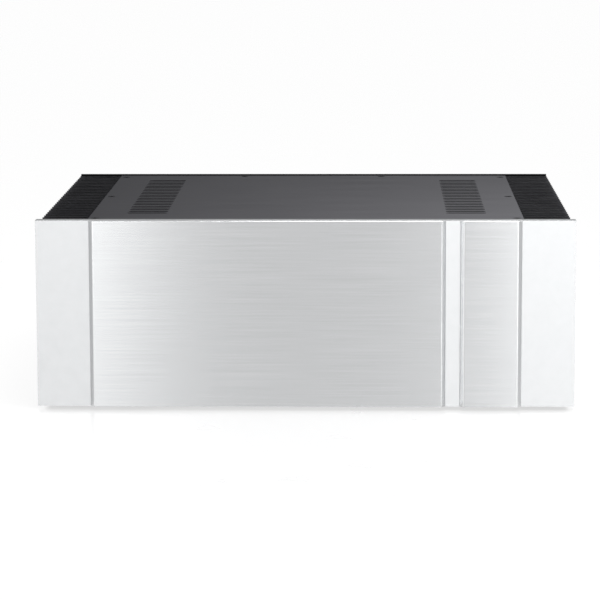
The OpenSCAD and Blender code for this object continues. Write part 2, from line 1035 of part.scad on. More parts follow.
// The drawer is a tray with a pocket for one fuse, and a lip to pull it by
module fuse_drawer() {
    pocket = [fuse_l + 0.6, fuse_d + 0.6, fuse_d + 0.6];
    color("black")
        on_rear(0, inlet_z)
            translate([0, drawer_z, 0])
                difference() {
                    union() {
                        translate([0, 0, inlet_flange_t - drawer_size[1]])
                            centred_box([drawer_size[0], drawer_size[2], drawer_size[1]]);
                        translate([0, 0, inlet_flange_t + drawer_gap])
                            centred_box([drawer_lip[0], drawer_lip[2], drawer_lip[1]]);
                        translate([0, 0, inlet_flange_t - cut])
                            centred_box([drawer_size[0] - 2, drawer_size[2] - 2,
                                         drawer_gap + 2 * cut]);
                    }
                    translate([-pocket[0] / 2, drawer_size[2] / 2 - pocket[1],
                               inlet_flange_t - drawer_size[1] + 1.5])
                        cube([pocket[0], pocket[1] + cut, pocket[2]]);
                }
}

module fuse() {
    color("lightgray")
        on_rear(0, inlet_z)
            translate([
                -fuse_l / 2,
                drawer_z + drawer_size[2] / 2 - fuse_d / 2 - 0.4,
                inlet_flange_t - drawer_size[1] + 1.5 + fuse_d / 2 + 0.3
            ])
                rotate([0, 90, 0])
                    cylinder(h = fuse_l, d = fuse_d);
}

module switch_frame() {
    color("black")
        on_rear(switch_x, switch_z)
            difference() {
                union() {
                    centred_box([switch_flange[0], switch_flange[1], switch_flange_t]);
                    translate([0, 0, -switch_body_l])
                        centred_box([switch_body[0], switch_body[1], switch_body_l]);
                }
                translate([0, 0, switch_flange_t - switch_opening_l])
                    centred_box([switch_opening[0], switch_opening[1], switch_opening_l + cut]);
                translate([0, 0, pivot_out])
                    rotate([0, 90, 0])
                        translate([0, 0, -switch_body[0] / 2 + 0.3])
                            cylinder(h = switch_body[0] - 0.6, d = rocker_pin_d + 2 * rocker_pin_fit);
            }
}

// The see-saw button, stored with its lower half pressed in
module power_rocker() {
    profile = [
        [-rocker_half, rocker_rise], [0, rocker_dip], [rocker_half, rocker_rise],
        [rocker_half, 1.5], [3, -3.5], [-3, -3.5], [-rocker_half, 1.5]
    ];
    pin_l = rocker_w + 1.4;
    color("dimgray")
        on_rear(switch_x, switch_z)
            translate([0, 0, pivot_out])
                rotate([rocker_throw / 2, 0, 0]) {
                    rotate([0, 0, 90])
                        rotate([90, 0, 0])
                            translate([0, 0, -rocker_w / 2])
                                linear_extrude(rocker_w)
                                    polygon(profile);
                    rotate([0, 90, 0])
                        translate([0, 0, -pin_l / 2])
                            cylinder(h = pin_l, d = rocker_pin_d);
                }
}

// ---------- Speaker posts ----------

module post_studs() {
    end = post_reach - post_end_recess;
    color("gold")
        for (x = post_xs)
            on_rear(x, post_z)
                difference() {
                    union() {
                        translate([0, 0, -rear_t - post_washer_t - post_nut_t - 5])
                            cylinder(h = rear_t + post_washer_t + post_nut_t + 5 + end,
                                     d = post_stud_d);
                        translate([0, 0, post_flange_t])
                            cylinder(h = post_seat_t, d = post_seat_d);
                    }
                    translate([0, 0, end - post_plug_depth])
                        cylinder(h = post_plug_depth + cut, d = post_bore_d);
                }
}

// The flanged bush outside the panel and the washer inside it
module post_insulator() {
    bore = post_stud_d + 2 * screw_fit;
    ring(post_flange_d, bore, post_flange_t);
    translate([0, 0, 0.2 - rear_t])
        ring(post_hole_d - screw_fit, bore, rear_t - 0.2);
    translate([0, 0, -rear_t - post_washer_t])
        ring(post_flange_d - 1, bore, post_washer_t);
}

module red_post_insulators() {
    color("red")
        for (i = [1, 3])
            on_rear(post_xs[i], post_z)
                post_insulator();
}

module black_post_insulators() {
    color("black")
        for (i = [0, 2])
            on_rear(post_xs[i], post_z)
                post_insulator();
}

module post_nuts() {
    color("silver")
        for (x = post_xs)
            on_rear(x, post_z)
                translate([0, 0, -rear_t - post_washer_t - post_nut_t])
                    hex_nut(10, post_stud_d, post_nut_t);
}

module post_collar(i) {
    color("gold")
        on_rear(post_xs[i], post_z)
            translate([0, 0, post_flange_t + post_seat_t])
                ring(post_collar_d, post_stud_d + 2 * post_fit, post_collar_t);
}

// A fluted cap that screws along the stud
module post_cap(i) {
    flutes = 12;
    on_rear(post_xs[i], post_z)
        translate([0, 0, post_flange_t + post_seat_t + post_collar_t])
            difference() {
                ring(post_cap_d, post_stud_d + 2 * post_fit, post_cap_l);
                for (k = [0 : flutes - 1])
                    rotate([0, 0, k * 360 / flutes])
                        translate([post_cap_d / 2 + 0.6, 0, 4])
                            cylinder(h = post_cap_l, r = 1.3, $fn = 24);
            }
}

module left_black_collar() { post_collar(0); }
module left_red_collar() { post_collar(1); }
module right_black_collar() { post_collar(2); }
module right_red_collar() { post_collar(3); }

module left_black_cap() { color("black") post_cap(0); }
module left_red_cap() { color("red") post_cap(1); }
module right_black_cap() { color("black") post_cap(2); }
module right_red_cap() { color("red") post_cap(3); }

// ---------- Input sockets ----------

// The slot that the latch slides in, through the flange and the rear panel
module latch_slot() {
    translate([0, latch_rise + latch_size[2] / 2, -rear_t - cut])
        centred_box([latch_size[0] + 2 * latch_gap, latch_size[2] + 2 * latch_gap,
                     rear_t + input_flange_t + 2 * cut]);
}

module input_screw_places() {
    for (s = SIDES)
        translate([s * input_screw_x, -s * input_screw_z, input_flange_t])
            children();
}

module input_screw_holes() {
    input_screw_places()
        drill(screw_d, input_flange_t + rear_t + cut);
}

module input_socket(side) {
    color("silver")
        on_rear(side * input_x, input_z)
            difference() {
                union() {
                    centred_box([input_flange[0], input_flange[1], input_flange_t]);
                    translate([0, 0, input_flange_t - input_shell_l])
                        cylinder(h = input_shell_l, d = input_shell_d);
                }
                translate([0, 0, input_flange_t - input_bore_l])
                    cylinder(h = input_bore_l + cut, d = input_bore_d);
                latch_slot();
                input_screw_holes();
            }
}

module left_input_socket() { input_socket(-1); }
module right_input_socket() { input_socket(1); }

module input_latch(side) {
    color("darkgray")
        on_rear(side * input_x, input_z)
            translate([0, latch_rise + latch_size[2] / 2, latch_end - latch_size[1]])
                centred_box([latch_size[0], latch_size[2], latch_size[1]]);
}

module left_input_latch() { input_latch(-1); }
module right_input_latch() { input_latch(1); }

module input_inserts() {
    color("black")
        for (s = SIDES)
            on_rear(s * input_x, input_z)
                translate([0, 0, input_flange_t - input_bore_l])
                    difference() {
                        cylinder(h = input_insert_l, d = input_insert_d);
                        for (a = [0, 120, 240])
                            rotate([0, 0, a + 30])
                                translate([input_pin_circle_d / 2, 0, 4])
                                    cylinder(h = input_insert_l, d = input_pin_hole_d);
                    }
}

module input_screws() {
    color("black")
        for (s = SIDES)
            on_rear(s * input_x, input_z)
                input_screw_places()
                    small_pan_screw(input_flange_t + rear_t + 1);
}

// ---------- Internal wiring ----------

function unit(v) = v / norm(v);

// Direction of a wire at its point i
function heading(p, i) = unit(p[min(i + 1, len(p) - 1)] - p[max(i - 1, 0)]);

function wire_ring(p, i, r, sides) =
    let (t = heading(p, i), u = unit(cross(t, [0.6, -0.35, 0.7])), v = cross(t, u))
    [for (k = [0 : sides - 1]) let (a = k * 360 / sides) p[i] + r * (cos(a) * u + sin(a) * v)];

// A round wire swept along its points
module wire(points, d) {
    sides = 8;
    last = len(points) - 1;
    rings = [for (i = [0 : last], q = wire_ring(points, i, d / 2, sides)) q];
    start = [for (k = [0 : sides - 1]) k];
    end = [for (k = [sides - 1 : -1 : 0]) last * sides + k];
    walls = [
        for (i = [0 : last - 1], k = [0 : sides - 1])
            let (a = i * sides + k, b = i * sides + (k + 1) % sides)
                each [[a, a + sides, b + sides], [a, b + sides, b]]
    ];
    polyhedron(points = rings, faces = concat([start, end], walls));
}

// Ends a lead just clear of the transformer's side, at an angle from +X
function transformer_lead(angle, out, z) =
    let (r = transformer_d / 2 + out)
    [r * cos(angle), transformer_y + r * sin(angle), z];

// Mains lead from the inlet to the switch, and on to the transformer
module mains_leads(d) {
    tab_y = rear_y - inlet_body_l - inlet_tab_l;
    tab_z = inlet_z + inlet_cavity_z - inlet_pin_rise;
    back_y = rear_y - switch_body_l;
    duct_x = amp_board_x - 24;
    wire([
        [inlet_pin_spread, tab_y, tab_z], [inlet_pin_spread, tab_y - 5, tab_z],
        [switch_x - 16, tab_y - 6, tab_z - 3], [switch_x - 3, back_y - 16, switch_z - 5],
        [switch_x, back_y - 9, switch_z - 5], [switch_x, back_y, switch_z - 5]
    ], d);
    wire([
        [switch_x, back_y, switch_z + 5], [switch_x, back_y - 10, switch_z + 5],
        [switch_x + 24, back_y - 17, switch_z + 4], [duct_x - 4, supply_rear_y - 12, 44],
        [duct_x, supply_y - 20, 42], [duct_x - 8, transformer_y + 66, 56],
        transformer_lead(30, 20, 60), transformer_lead(30, 8, 60), transformer_lead(30, 0.05, 60)
    ], d);
}

// Leads from the transformer to a rectifier and from there to the supply board
module supply_leads(d) {
    tab_z = floor_z + rectifier_h + 9;
    board_top = supply_z + board_t;
    lead_x = supply_w / 2 - 8;
    wire([
        transformer_lead(-32, 0.05, 46), transformer_lead(-32, 7, 46),
        [rectifier_x - 10, rectifier_y + 12, 42], [rectifier_x - 9, rectifier_y + 9, 35],
        [rectifier_x - 9, rectifier_y + 9, tab_z]
    ], d);
    wire([
        [rectifier_x + 9, rectifier_y + 9, tab_z], [rectifier_x + 9, rectifier_y + 9, tab_z + 6],
        [rectifier_x + 11, rectifier_y + 30, tab_z + 13], [lead_x + 12, supply_y - 66, tab_z + 11],
        [lead_x + 2, supply_y - 32, board_top + 16], [lead_x, supply_y - 20, board_top + 8],
        [lead_x, supply_y - 20, board_top]
    ], d);
}

// Lead from the supply board to an amplifier board
module rail_lead(d) {
    board_top = supply_z + board_t;
    lead_x = supply_w / 2 - 8;
    inner_x = amp_board_x - board_t;
    y = supply_y + 4;
    z = amp_board_z + 12;
    wire([
        [lead_x, y, board_top], [lead_x, y, board_top + 10], [lead_x + 14, y, z - 24],
        [inner_x - 16, y, z - 4], [inner_x - 7, y, z], [inner_x, y, z]
    ], d);
}

module power_wiring() {
    wire_d = 3;
    color("maroon") {
        mains_leads(wire_d);
        for (s = SIDES)
            mirror([s < 0 ? 1 : 0, 0, 0]) {
                supply_leads(wire_d);
                rail_lead(wire_d);
            }
    }
}

// Leads from an amplifier board to its two speaker posts, and from its input socket
module channel_leads(d) {
    inner_x = amp_board_x - board_t;
    board_end_y = amp_board_front_y + amp_board_l;
    post_back_y = rear_y - rear_t - post_washer_t - post_nut_t - 5;
    input_back_y = rear_y + input_flange_t - input_shell_l;
    for (k = SIDES) {
        x = post_pair_x + k * post_spacing / 2;
        z = amp_board_z + 40 + k * 5;
        wire([
            [inner_x, board_end_y - 12, z], [inner_x - 9, board_end_y - 12, z],
            [x + 2, post_back_y - 26, post_z + 26], [x, post_back_y - 12, post_z + 4],
            [x, post_back_y - 7, post_z], [x, post_back_y, post_z]
        ], d);
    }
    wire([
        [input_x, input_back_y, input_z], [input_x, input_back_y - 10, input_z],
        [input_x + 14, board_end_y + 6, input_z + 8], [inner_x - 12, board_end_y - 16, input_z + 16],
        [inner_x - 6, board_end_y - 30, input_z + 18], [inner_x, board_end_y - 30, input_z + 18]
    ], d);
}

module signal_wiring() {
    wire_d = 2.4;
    color("ivory")
        for (s = SIDES)
            mirror([s < 0 ? 1 : 0, 0, 0])
                channel_leads(wire_d);
}

front_panel();
main_fascia();
small_fascia();
panel_bolts();
fascia_screws();
left_heatsink();
right_heatsink();
top_cover();
cover_screws();
cover_blocks();
bottom_plate();
bottom_screws();
rear_panel();
rear_panel_screws();
feet();
foot_screws();
transformer_lower_pad();
transformer();
transformer_upper_pad();
transformer_washer();
transformer_bolt();
transformer_nut();
rectifiers();
supply_board();
filter_capacitors();
left_amp_board();
right_amp_board();
output_transistors();
transistor_insulators();
device_screws();
emitter_resistors();
board_pillars();
board_screws();
mains_inlet();
mains_pins();
inlet_screws();
fuse_drawer();
fuse();
switch_frame();
power_rocker();
post_studs();
red_post_insulators();
black_post_insulators();
post_nuts();
left_black_collar();
left_red_collar();
right_black_collar();
right_red_collar();
left_black_cap();
left_red_cap();
right_black_cap();
right_red_cap();
left_input_socket();
right_input_socket();
left_input_latch();
right_input_latch();
input_inserts();
input_screws();
power_wiring();
signal_wiring();
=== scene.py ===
# %% [markdown]
# # A power amplifier with side heatsinks
# A full-size stereo power amplifier is a box of metal plates between two finned heatsinks. This
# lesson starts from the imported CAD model, which fixes every size, and gives each part the look of
# the real one. Some parts keep their CAD mesh and get a better finish. Others are modelled again
# here, because the real one has rounded arrises, flutes or windings that the CAD leaves out.

# %% Load the CAD model
import json
import math

import bmesh
import bpy
from mathutils import Matrix, Vector

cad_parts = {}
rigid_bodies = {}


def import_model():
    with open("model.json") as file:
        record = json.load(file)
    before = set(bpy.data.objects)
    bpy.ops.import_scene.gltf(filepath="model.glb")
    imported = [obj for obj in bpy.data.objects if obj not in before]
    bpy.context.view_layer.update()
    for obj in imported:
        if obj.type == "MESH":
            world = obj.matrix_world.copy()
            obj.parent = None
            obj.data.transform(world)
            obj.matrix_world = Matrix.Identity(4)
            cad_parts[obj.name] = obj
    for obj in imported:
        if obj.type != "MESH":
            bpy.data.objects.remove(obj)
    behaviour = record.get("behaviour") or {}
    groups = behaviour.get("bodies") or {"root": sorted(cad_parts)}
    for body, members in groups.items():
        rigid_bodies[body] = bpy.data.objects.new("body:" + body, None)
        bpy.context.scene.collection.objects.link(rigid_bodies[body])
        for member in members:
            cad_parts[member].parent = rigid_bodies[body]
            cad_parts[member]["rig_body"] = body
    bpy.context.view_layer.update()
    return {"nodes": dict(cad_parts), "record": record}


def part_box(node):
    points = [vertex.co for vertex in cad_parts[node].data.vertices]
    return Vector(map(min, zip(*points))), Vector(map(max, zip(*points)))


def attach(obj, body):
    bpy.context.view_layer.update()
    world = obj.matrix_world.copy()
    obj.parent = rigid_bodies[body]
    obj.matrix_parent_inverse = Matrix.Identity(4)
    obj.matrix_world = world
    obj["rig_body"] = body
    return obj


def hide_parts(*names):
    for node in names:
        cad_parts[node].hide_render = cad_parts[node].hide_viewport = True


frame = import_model()
MM = 0.001

# %% [markdown]
# ## Working by hand, in code
# Blender's operators act on whatever is selected, and the loaded parts are all selected. So each
# step first selects one piece and nothing else, then selects faces or points by where they are or
# which way they face. Three small helpers do that, and a fourth puts a finished piece's place into
# its mesh, as the CAD nodes have it.

# %% Selecting and settling
def only(piece):
    """Selects one piece and nothing else, and makes it the one that operators act on."""
    bpy.ops.object.select_all(action="DESELECT")
    piece.select_set(True)
    bpy.context.view_layer.objects.active = piece


def pick(kind, test):
    """In edit mode, selects the faces, edges or points that pass a test, and nothing else."""
    bpy.ops.mesh.select_mode(type=kind)
    bpy.ops.mesh.select_all(action="DESELECT")
    mesh = bmesh.from_edit_mesh(bpy.context.object.data)
    parts = {"FACE": mesh.faces, "EDGE": mesh.edges, "VERT": mesh.verts}[kind]
    chosen = [part for part in parts if test(part)]
    for part in chosen:
        part.select_set(True)
    bmesh.update_edit_mesh(bpy.context.object.data)
    return len(chosen)


def settle(piece):
    """Puts a piece's place, turn and size into its mesh, so that its object sits at the origin."""
    only(piece)
    bpy.ops.object.transform_apply(location=True, rotation=True, scale=True)
    return piece


def slab(name, low, high):
    """Adds a box between two corners, to be shaped further."""
    bpy.ops.object.select_all(action="DESELECT")
    bpy.ops.mesh.primitive_cube_add(size=1, location=(Vector(low) + Vector(high)) / 2)
    piece = bpy.context.object
    piece.name = name
    piece.scale = Vector(high) - Vector(low)
    return settle(piece)


print("helpers are ready")

# %% [markdown]
# A sharp edge on real metal is always broken a little by a file, a tumbler or the anodising bath,
# and that narrow rounding is what catches the light. A Bevel modifier limited by angle rounds only
# the sharp edges, and smooth shading limited by angle keeps the flat faces flat.

# %% Breaking edges and shading
def apply_modifiers(piece):
    """Makes every modifier's result the piece's own mesh."""
    only(piece)
    for modifier in list(piece.modifiers):
        bpy.ops.object.modifier_apply(modifier=modifier.name)


def break_edges(piece, width, segments=2, angle=30):
    """Rounds the edges sharper than an angle. Weighted normals keep the wide faces flat."""
    bevel = piece.modifiers.new("broken edges", "BEVEL")
    bevel.width = width
    bevel.segments = segments
    bevel.limit_method = "ANGLE"
    bevel.angle_limit = math.radians(angle)
    bevel.use_clamp_overlap = True
    apply_modifiers(piece)
    shade(piece)
    flat_faces = piece.modifiers.new("flat faces", "WEIGHTED_NORMAL")
    flat_faces.weight = 100
    flat_faces.keep_sharp = True
    apply_modifiers(piece)
    return piece


def shade(piece, angle=35):
    """Smooth shading that keeps edges sharper than an angle."""
    only(piece)
    bpy.ops.object.shade_smooth_by_angle(angle=math.radians(angle))
    return piece


def cad_copy(node, name):
    """A copy of a CAD node's mesh with its loose triangles merged, and flat faces made whole."""
    source = frame["nodes"][node]
    piece = bpy.data.objects.new(name, source.data.copy())
    bpy.context.scene.collection.objects.link(piece)
    piece.data.materials.clear()
    only(piece)
    bpy.ops.object.mode_set(mode="EDIT")
    bpy.ops.mesh.select_all(action="SELECT")
    bpy.ops.mesh.remove_doubles(threshold=0.001 * MM)
    bpy.ops.mesh.dissolve_limited(angle_limit=math.radians(0.5))
    bpy.ops.object.mode_set(mode="OBJECT")
    return piece


print("edge tools are ready")

# %% [markdown]
# Screws, studs, knobs and cans are turned parts: a lathe cuts one half outline all the way round.
# Here a single point is pushed out along the half outline and then spun about the Z axis. The
# points on the axis fall together and are merged, and the normals are made to face outwards.

# %% Turned parts
def turn(name, outline, steps=32):
    """Spins a half outline, given as (radius, height) in metres, about the Z axis."""
    bpy.ops.object.select_all(action="DESELECT")
    bpy.ops.mesh.primitive_plane_add(size=MM, location=(0, 0, 0))
    piece = bpy.context.object
    piece.name = name
    bpy.ops.object.mode_set(mode="EDIT")
    bpy.ops.mesh.select_mode(type="VERT")
    bpy.ops.mesh.select_all(action="SELECT")
    bpy.ops.mesh.merge(type="CENTER")
    bpy.ops.transform.translate(value=(outline[0][0], 0, outline[0][1]))
    for (r0, z0), (r1, z1) in zip(outline, outline[1:]):
        step = (r1 - r0, 0, z1 - z0)
        bpy.ops.mesh.extrude_vertices_move(TRANSFORM_OT_translate={"value": step})
    bpy.ops.mesh.select_all(action="SELECT")
    bpy.ops.mesh.spin(steps=steps, angle=2 * math.pi, center=(0, 0, 0), axis=(0, 0, 1))
    bpy.ops.mesh.select_all(action="SELECT")
    bpy.ops.mesh.remove_doubles(threshold=0.002 * MM)
    bpy.ops.mesh.normals_make_consistent(inside=False)
    bpy.ops.object.mode_set(mode="OBJECT")
    return piece


def prism(name, radius, height, sides):
    """An upright prism with its foot at the origin, such as a hexagon."""
    bpy.ops.object.select_all(action="DESELECT")
    bpy.ops.mesh.primitive_cylinder_add(
        vertices=sides, radius=radius, depth=height, location=(0, 0, height / 2))
    piece = bpy.context.object
    piece.name = name
    return settle(piece)


def combine(piece, tool, how):
    """Cuts a tool out of a piece, or joins it on, and takes the tool away."""
    boolean = piece.modifiers.new("cut", "BOOLEAN")
    boolean.operation = how
    boolean.solver = "EXACT"
    boolean.object = tool
    apply_modifiers(piece)
    bpy.data.objects.remove(tool)
    return piece


def copy_to(piece, name, place):
    """A copy of a piece with its own mesh, put in its place."""
    other = bpy.data.objects.new(name, piece.data.copy())
    bpy.context.scene.collection.objects.link(other)
    other.data.transform(place)
    return other


def gather(name, pieces):
    """Joins pieces into one object."""
    bpy.ops.object.select_all(action="DESELECT")
    for piece in pieces:
        piece.select_set(True)
    bpy.context.view_layer.objects.active = pieces[0]
    bpy.ops.object.join()
    joined = bpy.context.object
    joined.name = name
    return joined


print("turning tools are ready")

# %% [markdown]
# ## Finishes
# Every finish is built from nodes and reads Object coordinates, which here are metres in the
# part's own frame, so a pattern keeps its real size on every piece. One helper turns an sRGB hex
# colour to linear light, one starts a finish with what is the same all over it, and one adds a
# node with its settings and links.

# %% Helpers for finishes
def linear(hex_colour):
    """An sRGB hex colour as linear red, green, blue and alpha."""
    channels = [int(hex_colour[i:i + 2], 16) / 255 for i in (1, 3, 5)]
    return [c / 12.92 if c <= 0.04045 else ((c + 0.055) / 1.055) ** 2.4 for c in channels] + [1]


def new_finish(name, colour, roughness, **sockets):
    """A material whose shader has its constant values on its own sockets."""
    finish = bpy.data.materials.new(name)
    finish.use_nodes = True
    shader = finish.node_tree.nodes["Principled BSDF"]
    shader.inputs["Base Color"].default_value = linear(colour)
    shader.inputs["Roughness"].default_value = roughness
    for socket, value in sockets.items():
        shader.inputs[socket.replace("_", " ")].default_value = value
    finish.diffuse_color = linear(colour)
    return finish


def add_node(finish, kind, settings=(), values=(), links=(), feeds=()):
    """Adds a node. links join other nodes' outputs to its inputs, and feeds name shader sockets."""
    tree = finish.node_tree
    node = tree.nodes.new(kind)
    for setting, value in dict(settings).items():
        setattr(node, setting, value)
    for socket, value in dict(values).items():
        node.inputs[socket].default_value = value
    for socket, (source, output) in dict(links).items():
        tree.links.new(source.outputs[output], node.inputs[socket])
    for output, socket in dict(feeds).items():
        tree.links.new(node.outputs[output], tree.nodes["Principled BSDF"].inputs[socket])
    return node


def grain(finish, size, detail=2.0):
    """Noise whose spots have this size in millimetres along X, Y and Z."""
    place = add_node(finish, "ShaderNodeTexCoord")
    scale = [1 / (s * MM) for s in size]
    mapped = add_node(finish, "ShaderNodeMapping", values={"Scale": scale},
                      links={"Vector": (place, "Object")})
    return add_node(finish, "ShaderNodeTexNoise",
                    values={"Scale": 1.0, "Detail": detail, "Roughness": 0.55},
                    links={"Vector": (mapped, "Vector")})


def vary(finish, noise, low, high, socket):
    """Lets a noise move one shader value between two limits."""
    return add_node(finish, "ShaderNodeMapRange",
                    values={"From Min": 0.3, "From Max": 0.7, "To Min": low, "To Max": high},
                    links={"Value": (noise, "Fac")}, feeds={"Result": socket})


def tint(finish, noise, dark, light):
    """Lets a noise move the base colour between two hex colours."""
    ramp = add_node(finish, "ShaderNodeValToRGB", links={"Fac": (noise, "Fac")},
                    feeds={"Color": "Base Color"})
    ramp.color_ramp.elements[0].position = 0.3
    ramp.color_ramp.elements[0].color = linear(dark)
    ramp.color_ramp.elements[1].position = 0.7
    ramp.color_ramp.elements[1].color = linear(light)
    return ramp


def emboss(finish, noise, depth):
    """Lets a noise raise and lower the surface by a depth in millimetres."""
    return add_node(finish, "ShaderNodeBump",
                    values={"Strength": 1.0, "Distance": depth * MM},
                    links={"Height": (noise, "Fac")}, feeds={"Normal": "Normal"})


print("finish helpers are ready")

# %% [markdown]
# ### Bead-blasted silver anodise
# The thick front panel is aluminium, blasted with fine glass beads and anodised clear. The beads
# leave dimples of about 0.15 mm, so the surface is matt and even, with no direction. Dimples that
# fine don't show from a few paces, so a second, softer mottle of a few millimetres carries the
# look.

# %% Blasted silver
def blasted_silver_anodise():
    finish = new_finish("bead_blasted_silver_anodise", "#AFB0B1", 0.46, Metallic=1.0)
    dimples = grain(finish, (0.3, 0.3, 0.3), 3)
    mottle = grain(finish, (9, 9, 9), 3)
    tint(finish, mottle, "#ADAEAF", "#B1B2B3")
    vary(finish, mottle, 0.44, 0.49, "Roughness")
    emboss(finish, dimples, 0.012)
    return finish


silver_blast = blasted_silver_anodise()
print(silver_blast.name)

# %% [markdown]
# ### Brushed anodise
# The raised front plates and the top cover were drawn along an abrasive belt before they were
# anodised. The belt leaves thin grooves along X, each some tens of millimetres long and a few
# tenths wide. Grooves spread a reflection across themselves, so the shader is anisotropic, with
# its tangent across the grain. Real grooves are finer than the eye can part at this distance, so
# they are drawn about a millimetre wide, in low contrast.

# %% Brushed silver and brushed dark grey
def brushed_anodise(name, colours, roughness, across, depth, **sockets):
    """Grain along X. colours are the darkest and the lightest, roughness likewise."""
    finish = new_finish(name, colours[1], roughness[0], Metallic=1.0, **sockets)
    lines = grain(finish, (90, across, across), 4)
    tint(finish, lines, *colours)
    vary(finish, lines, *roughness, "Roughness")
    emboss(finish, lines, depth)
    add_node(finish, "ShaderNodeTangent", {"direction_type": "RADIAL", "axis": "X"},
             feeds={"Tangent": "Tangent"})
    return finish


silver_brush = brushed_anodise("brushed_silver_anodise", ("#AEAFB0", "#B5B6B7"), (0.24, 0.27),
                               0.8, 0.002, Anisotropic=0.9)
dark_brush = brushed_anodise("brushed_dark_anodise", ("#404042", "#474749"), (0.46, 0.54),
                             1.1, 0.006, Anisotropic=0.75, Specular_Tint=linear("#7A7A7C"))
print(silver_brush.name, dark_brush.name)

# %% [markdown]
# ### Black anodised extrusion
# The heatsinks were pressed through a die as one long bar, cut to length and dyed black. The die
# draws faint lines along the bar, which stands upright here, so the grain runs along Z. Dyed
# anodise has a satin sheen and is never quite black.

# %% Heatsink black
def extruded_black_anodise():
    finish = new_finish("extruded_black_anodise", "#323234", 0.42, Metallic=1.0,
                        Specular_Tint=linear("#6A6A6C"))
    lines = grain(finish, (0.8, 0.8, 90), 3)
    mottle = grain(finish, (30, 30, 30), 2)
    tint(finish, mottle, "#2E2E30", "#363638")
    vary(finish, lines, 0.36, 0.50, "Roughness")
    emboss(finish, lines, 0.01)
    return finish


heatsink_black = extruded_black_anodise()
print(heatsink_black.name)

# %% [markdown]
# ### Satin dark anodise for the rear panel
# The rear panel isn't brushed. It was etched before anodising, which leaves a finely pitted satin
# surface, a little lighter where a cloth has rubbed it.

# %% Rear panel grey
def etched_dark_anodise():
    finish = new_finish("etched_dark_anodise", "#343436", 0.5, Metallic=1.0,
                        Specular_Tint=linear("#707072"))
    pits = grain(finish, (0.35, 0.35, 0.35), 3)
    rubbed = grain(finish, (45, 45, 18), 4)
    tint(finish, rubbed, "#303032", "#39393B")
    vary(finish, rubbed, 0.46, 0.56, "Roughness")
    emboss(finish, pits, 0.015)
    return finish


rear_grey = etched_dark_anodise()
print(rear_grey.name)

# %% [markdown]
# ### Steel
# The bottom plate is steel under black powder coat, which melts into low bumps about a
# millimetre across, like orange peel. Screws are black oxide, a thin dark skin with the steel's
# own gloss on its high spots, or zinc, a bluish white metal with a faint crystal mottle.

# %% Powder coat, black oxide and zinc
def powder_coat():
    finish = new_finish("black_powder_coat", "#1E1E1F", 0.48, IOR=1.5)
    peel = grain(finish, (1.1, 1.1, 1.1), 2)
    tint(finish, peel, "#1B1B1C", "#232324")
    vary(finish, peel, 0.42, 0.55, "Roughness")
    emboss(finish, peel, 0.06)
    return finish


def black_oxide():
    finish = new_finish("black_oxide_steel", "#1D1D1F", 0.42, Metallic=1.0,
                        Specular_Tint=linear("#3A3A3C"))
    spots = grain(finish, (0.9, 0.9, 0.9), 4)
    tint(finish, spots, "#161618", "#28282A")
    vary(finish, spots, 0.36, 0.50, "Roughness")
    return finish


def zinc_plate():
    finish = new_finish("zinc_plated_steel", "#C3C6CA", 0.3, Metallic=1.0)
    crystals = grain(finish, (2.2, 2.2, 2.2), 4)
    tint(finish, crystals, "#B2B6BB", "#CFD2D5")
    vary(finish, crystals, 0.22, 0.4, "Roughness")
    emboss(finish, crystals, 0.004)
    return finish


chassis_black = powder_coat()
screw_black = black_oxide()
zinc = zinc_plate()
print(chassis_black.name, screw_black.name, zinc.name)

# %% [markdown]
# ### Brass and nickel
# The posts and collars are turned brass with a thin flash of gold, and the sockets are nickel
# plated. The lathe leaves rings too fine to see singly, so they show as a change of gloss
# along the post's length, which is Y here.

# %% Gold-flashed brass and satin nickel
def gold_flash():
    finish = new_finish("gold_flashed_brass", "#D9B25F", 0.22, Metallic=1.0)
    rings = grain(finish, (40, 0.35, 40), 3)
    handling = grain(finish, (3, 3, 3), 3)
    tint(finish, handling, "#C9A04C", "#E0BC6C")
    vary(finish, rings, 0.16, 0.32, "Roughness")
    emboss(finish, rings, 0.006)
    return finish


def satin_nickel():
    finish = new_finish("satin_nickel_plate", "#C9C5BC", 0.3, Metallic=1.0)
    satin = grain(finish, (0.5, 0.5, 0.5), 3)
    cloud = grain(finish, (6, 6, 6), 3)
    tint(finish, cloud, "#BDB9B0", "#D2CEC6")
    vary(finish, cloud, 0.26, 0.38, "Roughness")
    emboss(finish, satin, 0.005)
    return finish


gold = gold_flash()
nickel = satin_nickel()
print(gold.name, nickel.name)

# %% [markdown]
# ### Moulded plastics and rubber
# Plastic copies its mould. A spark-eroded mould gives a fine matt texture of about 0.3 mm, and a
# polished one gives gloss with very slow waves, where the plastic sank as it cooled. Rubber is
# duller, with a dusty bloom.

# %% Plastics and rubber
def moulded(name, dark, light, roughness, texture, depth, **sockets):
    """A moulded plastic: texture is the size of the mould's grain in millimetres."""
    finish = new_finish(name, light, roughness[0], IOR=1.5, **sockets)
    skin = grain(finish, (texture, texture, texture), 3)
    tint(finish, skin, dark, light)
    vary(finish, skin, *roughness, "Roughness")
    emboss(finish, skin, depth)
    return finish


black_matt = moulded("spark_textured_black_nylon", "#191919", "#222223", (0.48, 0.62), 0.35, 0.02)
black_gloss = moulded("polished_black_polycarbonate", "#0E0E0F", "#141415", (0.12, 0.22), 4, 0.01)
red_gloss = moulded("polished_red_polycarbonate", "#A3100F", "#B71614", (0.14, 0.24), 4, 0.01)
rubber = moulded("black_rubber", "#1A1A1A", "#272726", (0.7, 0.88), 0.8, 0.03)
silicone = moulded("grey_silicone_sheet", "#9A9FA6", "#A9AEB4", (0.55, 0.7), 0.6, 0.01)
red_lead = moulded("red_pvc_insulation", "#86181A", "#97201F", (0.3, 0.42), 1.5, 0.01)
white_lead = moulded("ivory_pvc_insulation", "#D9D5C6", "#E6E2D4", (0.3, 0.42), 1.5, 0.01)
print("plastics are ready")

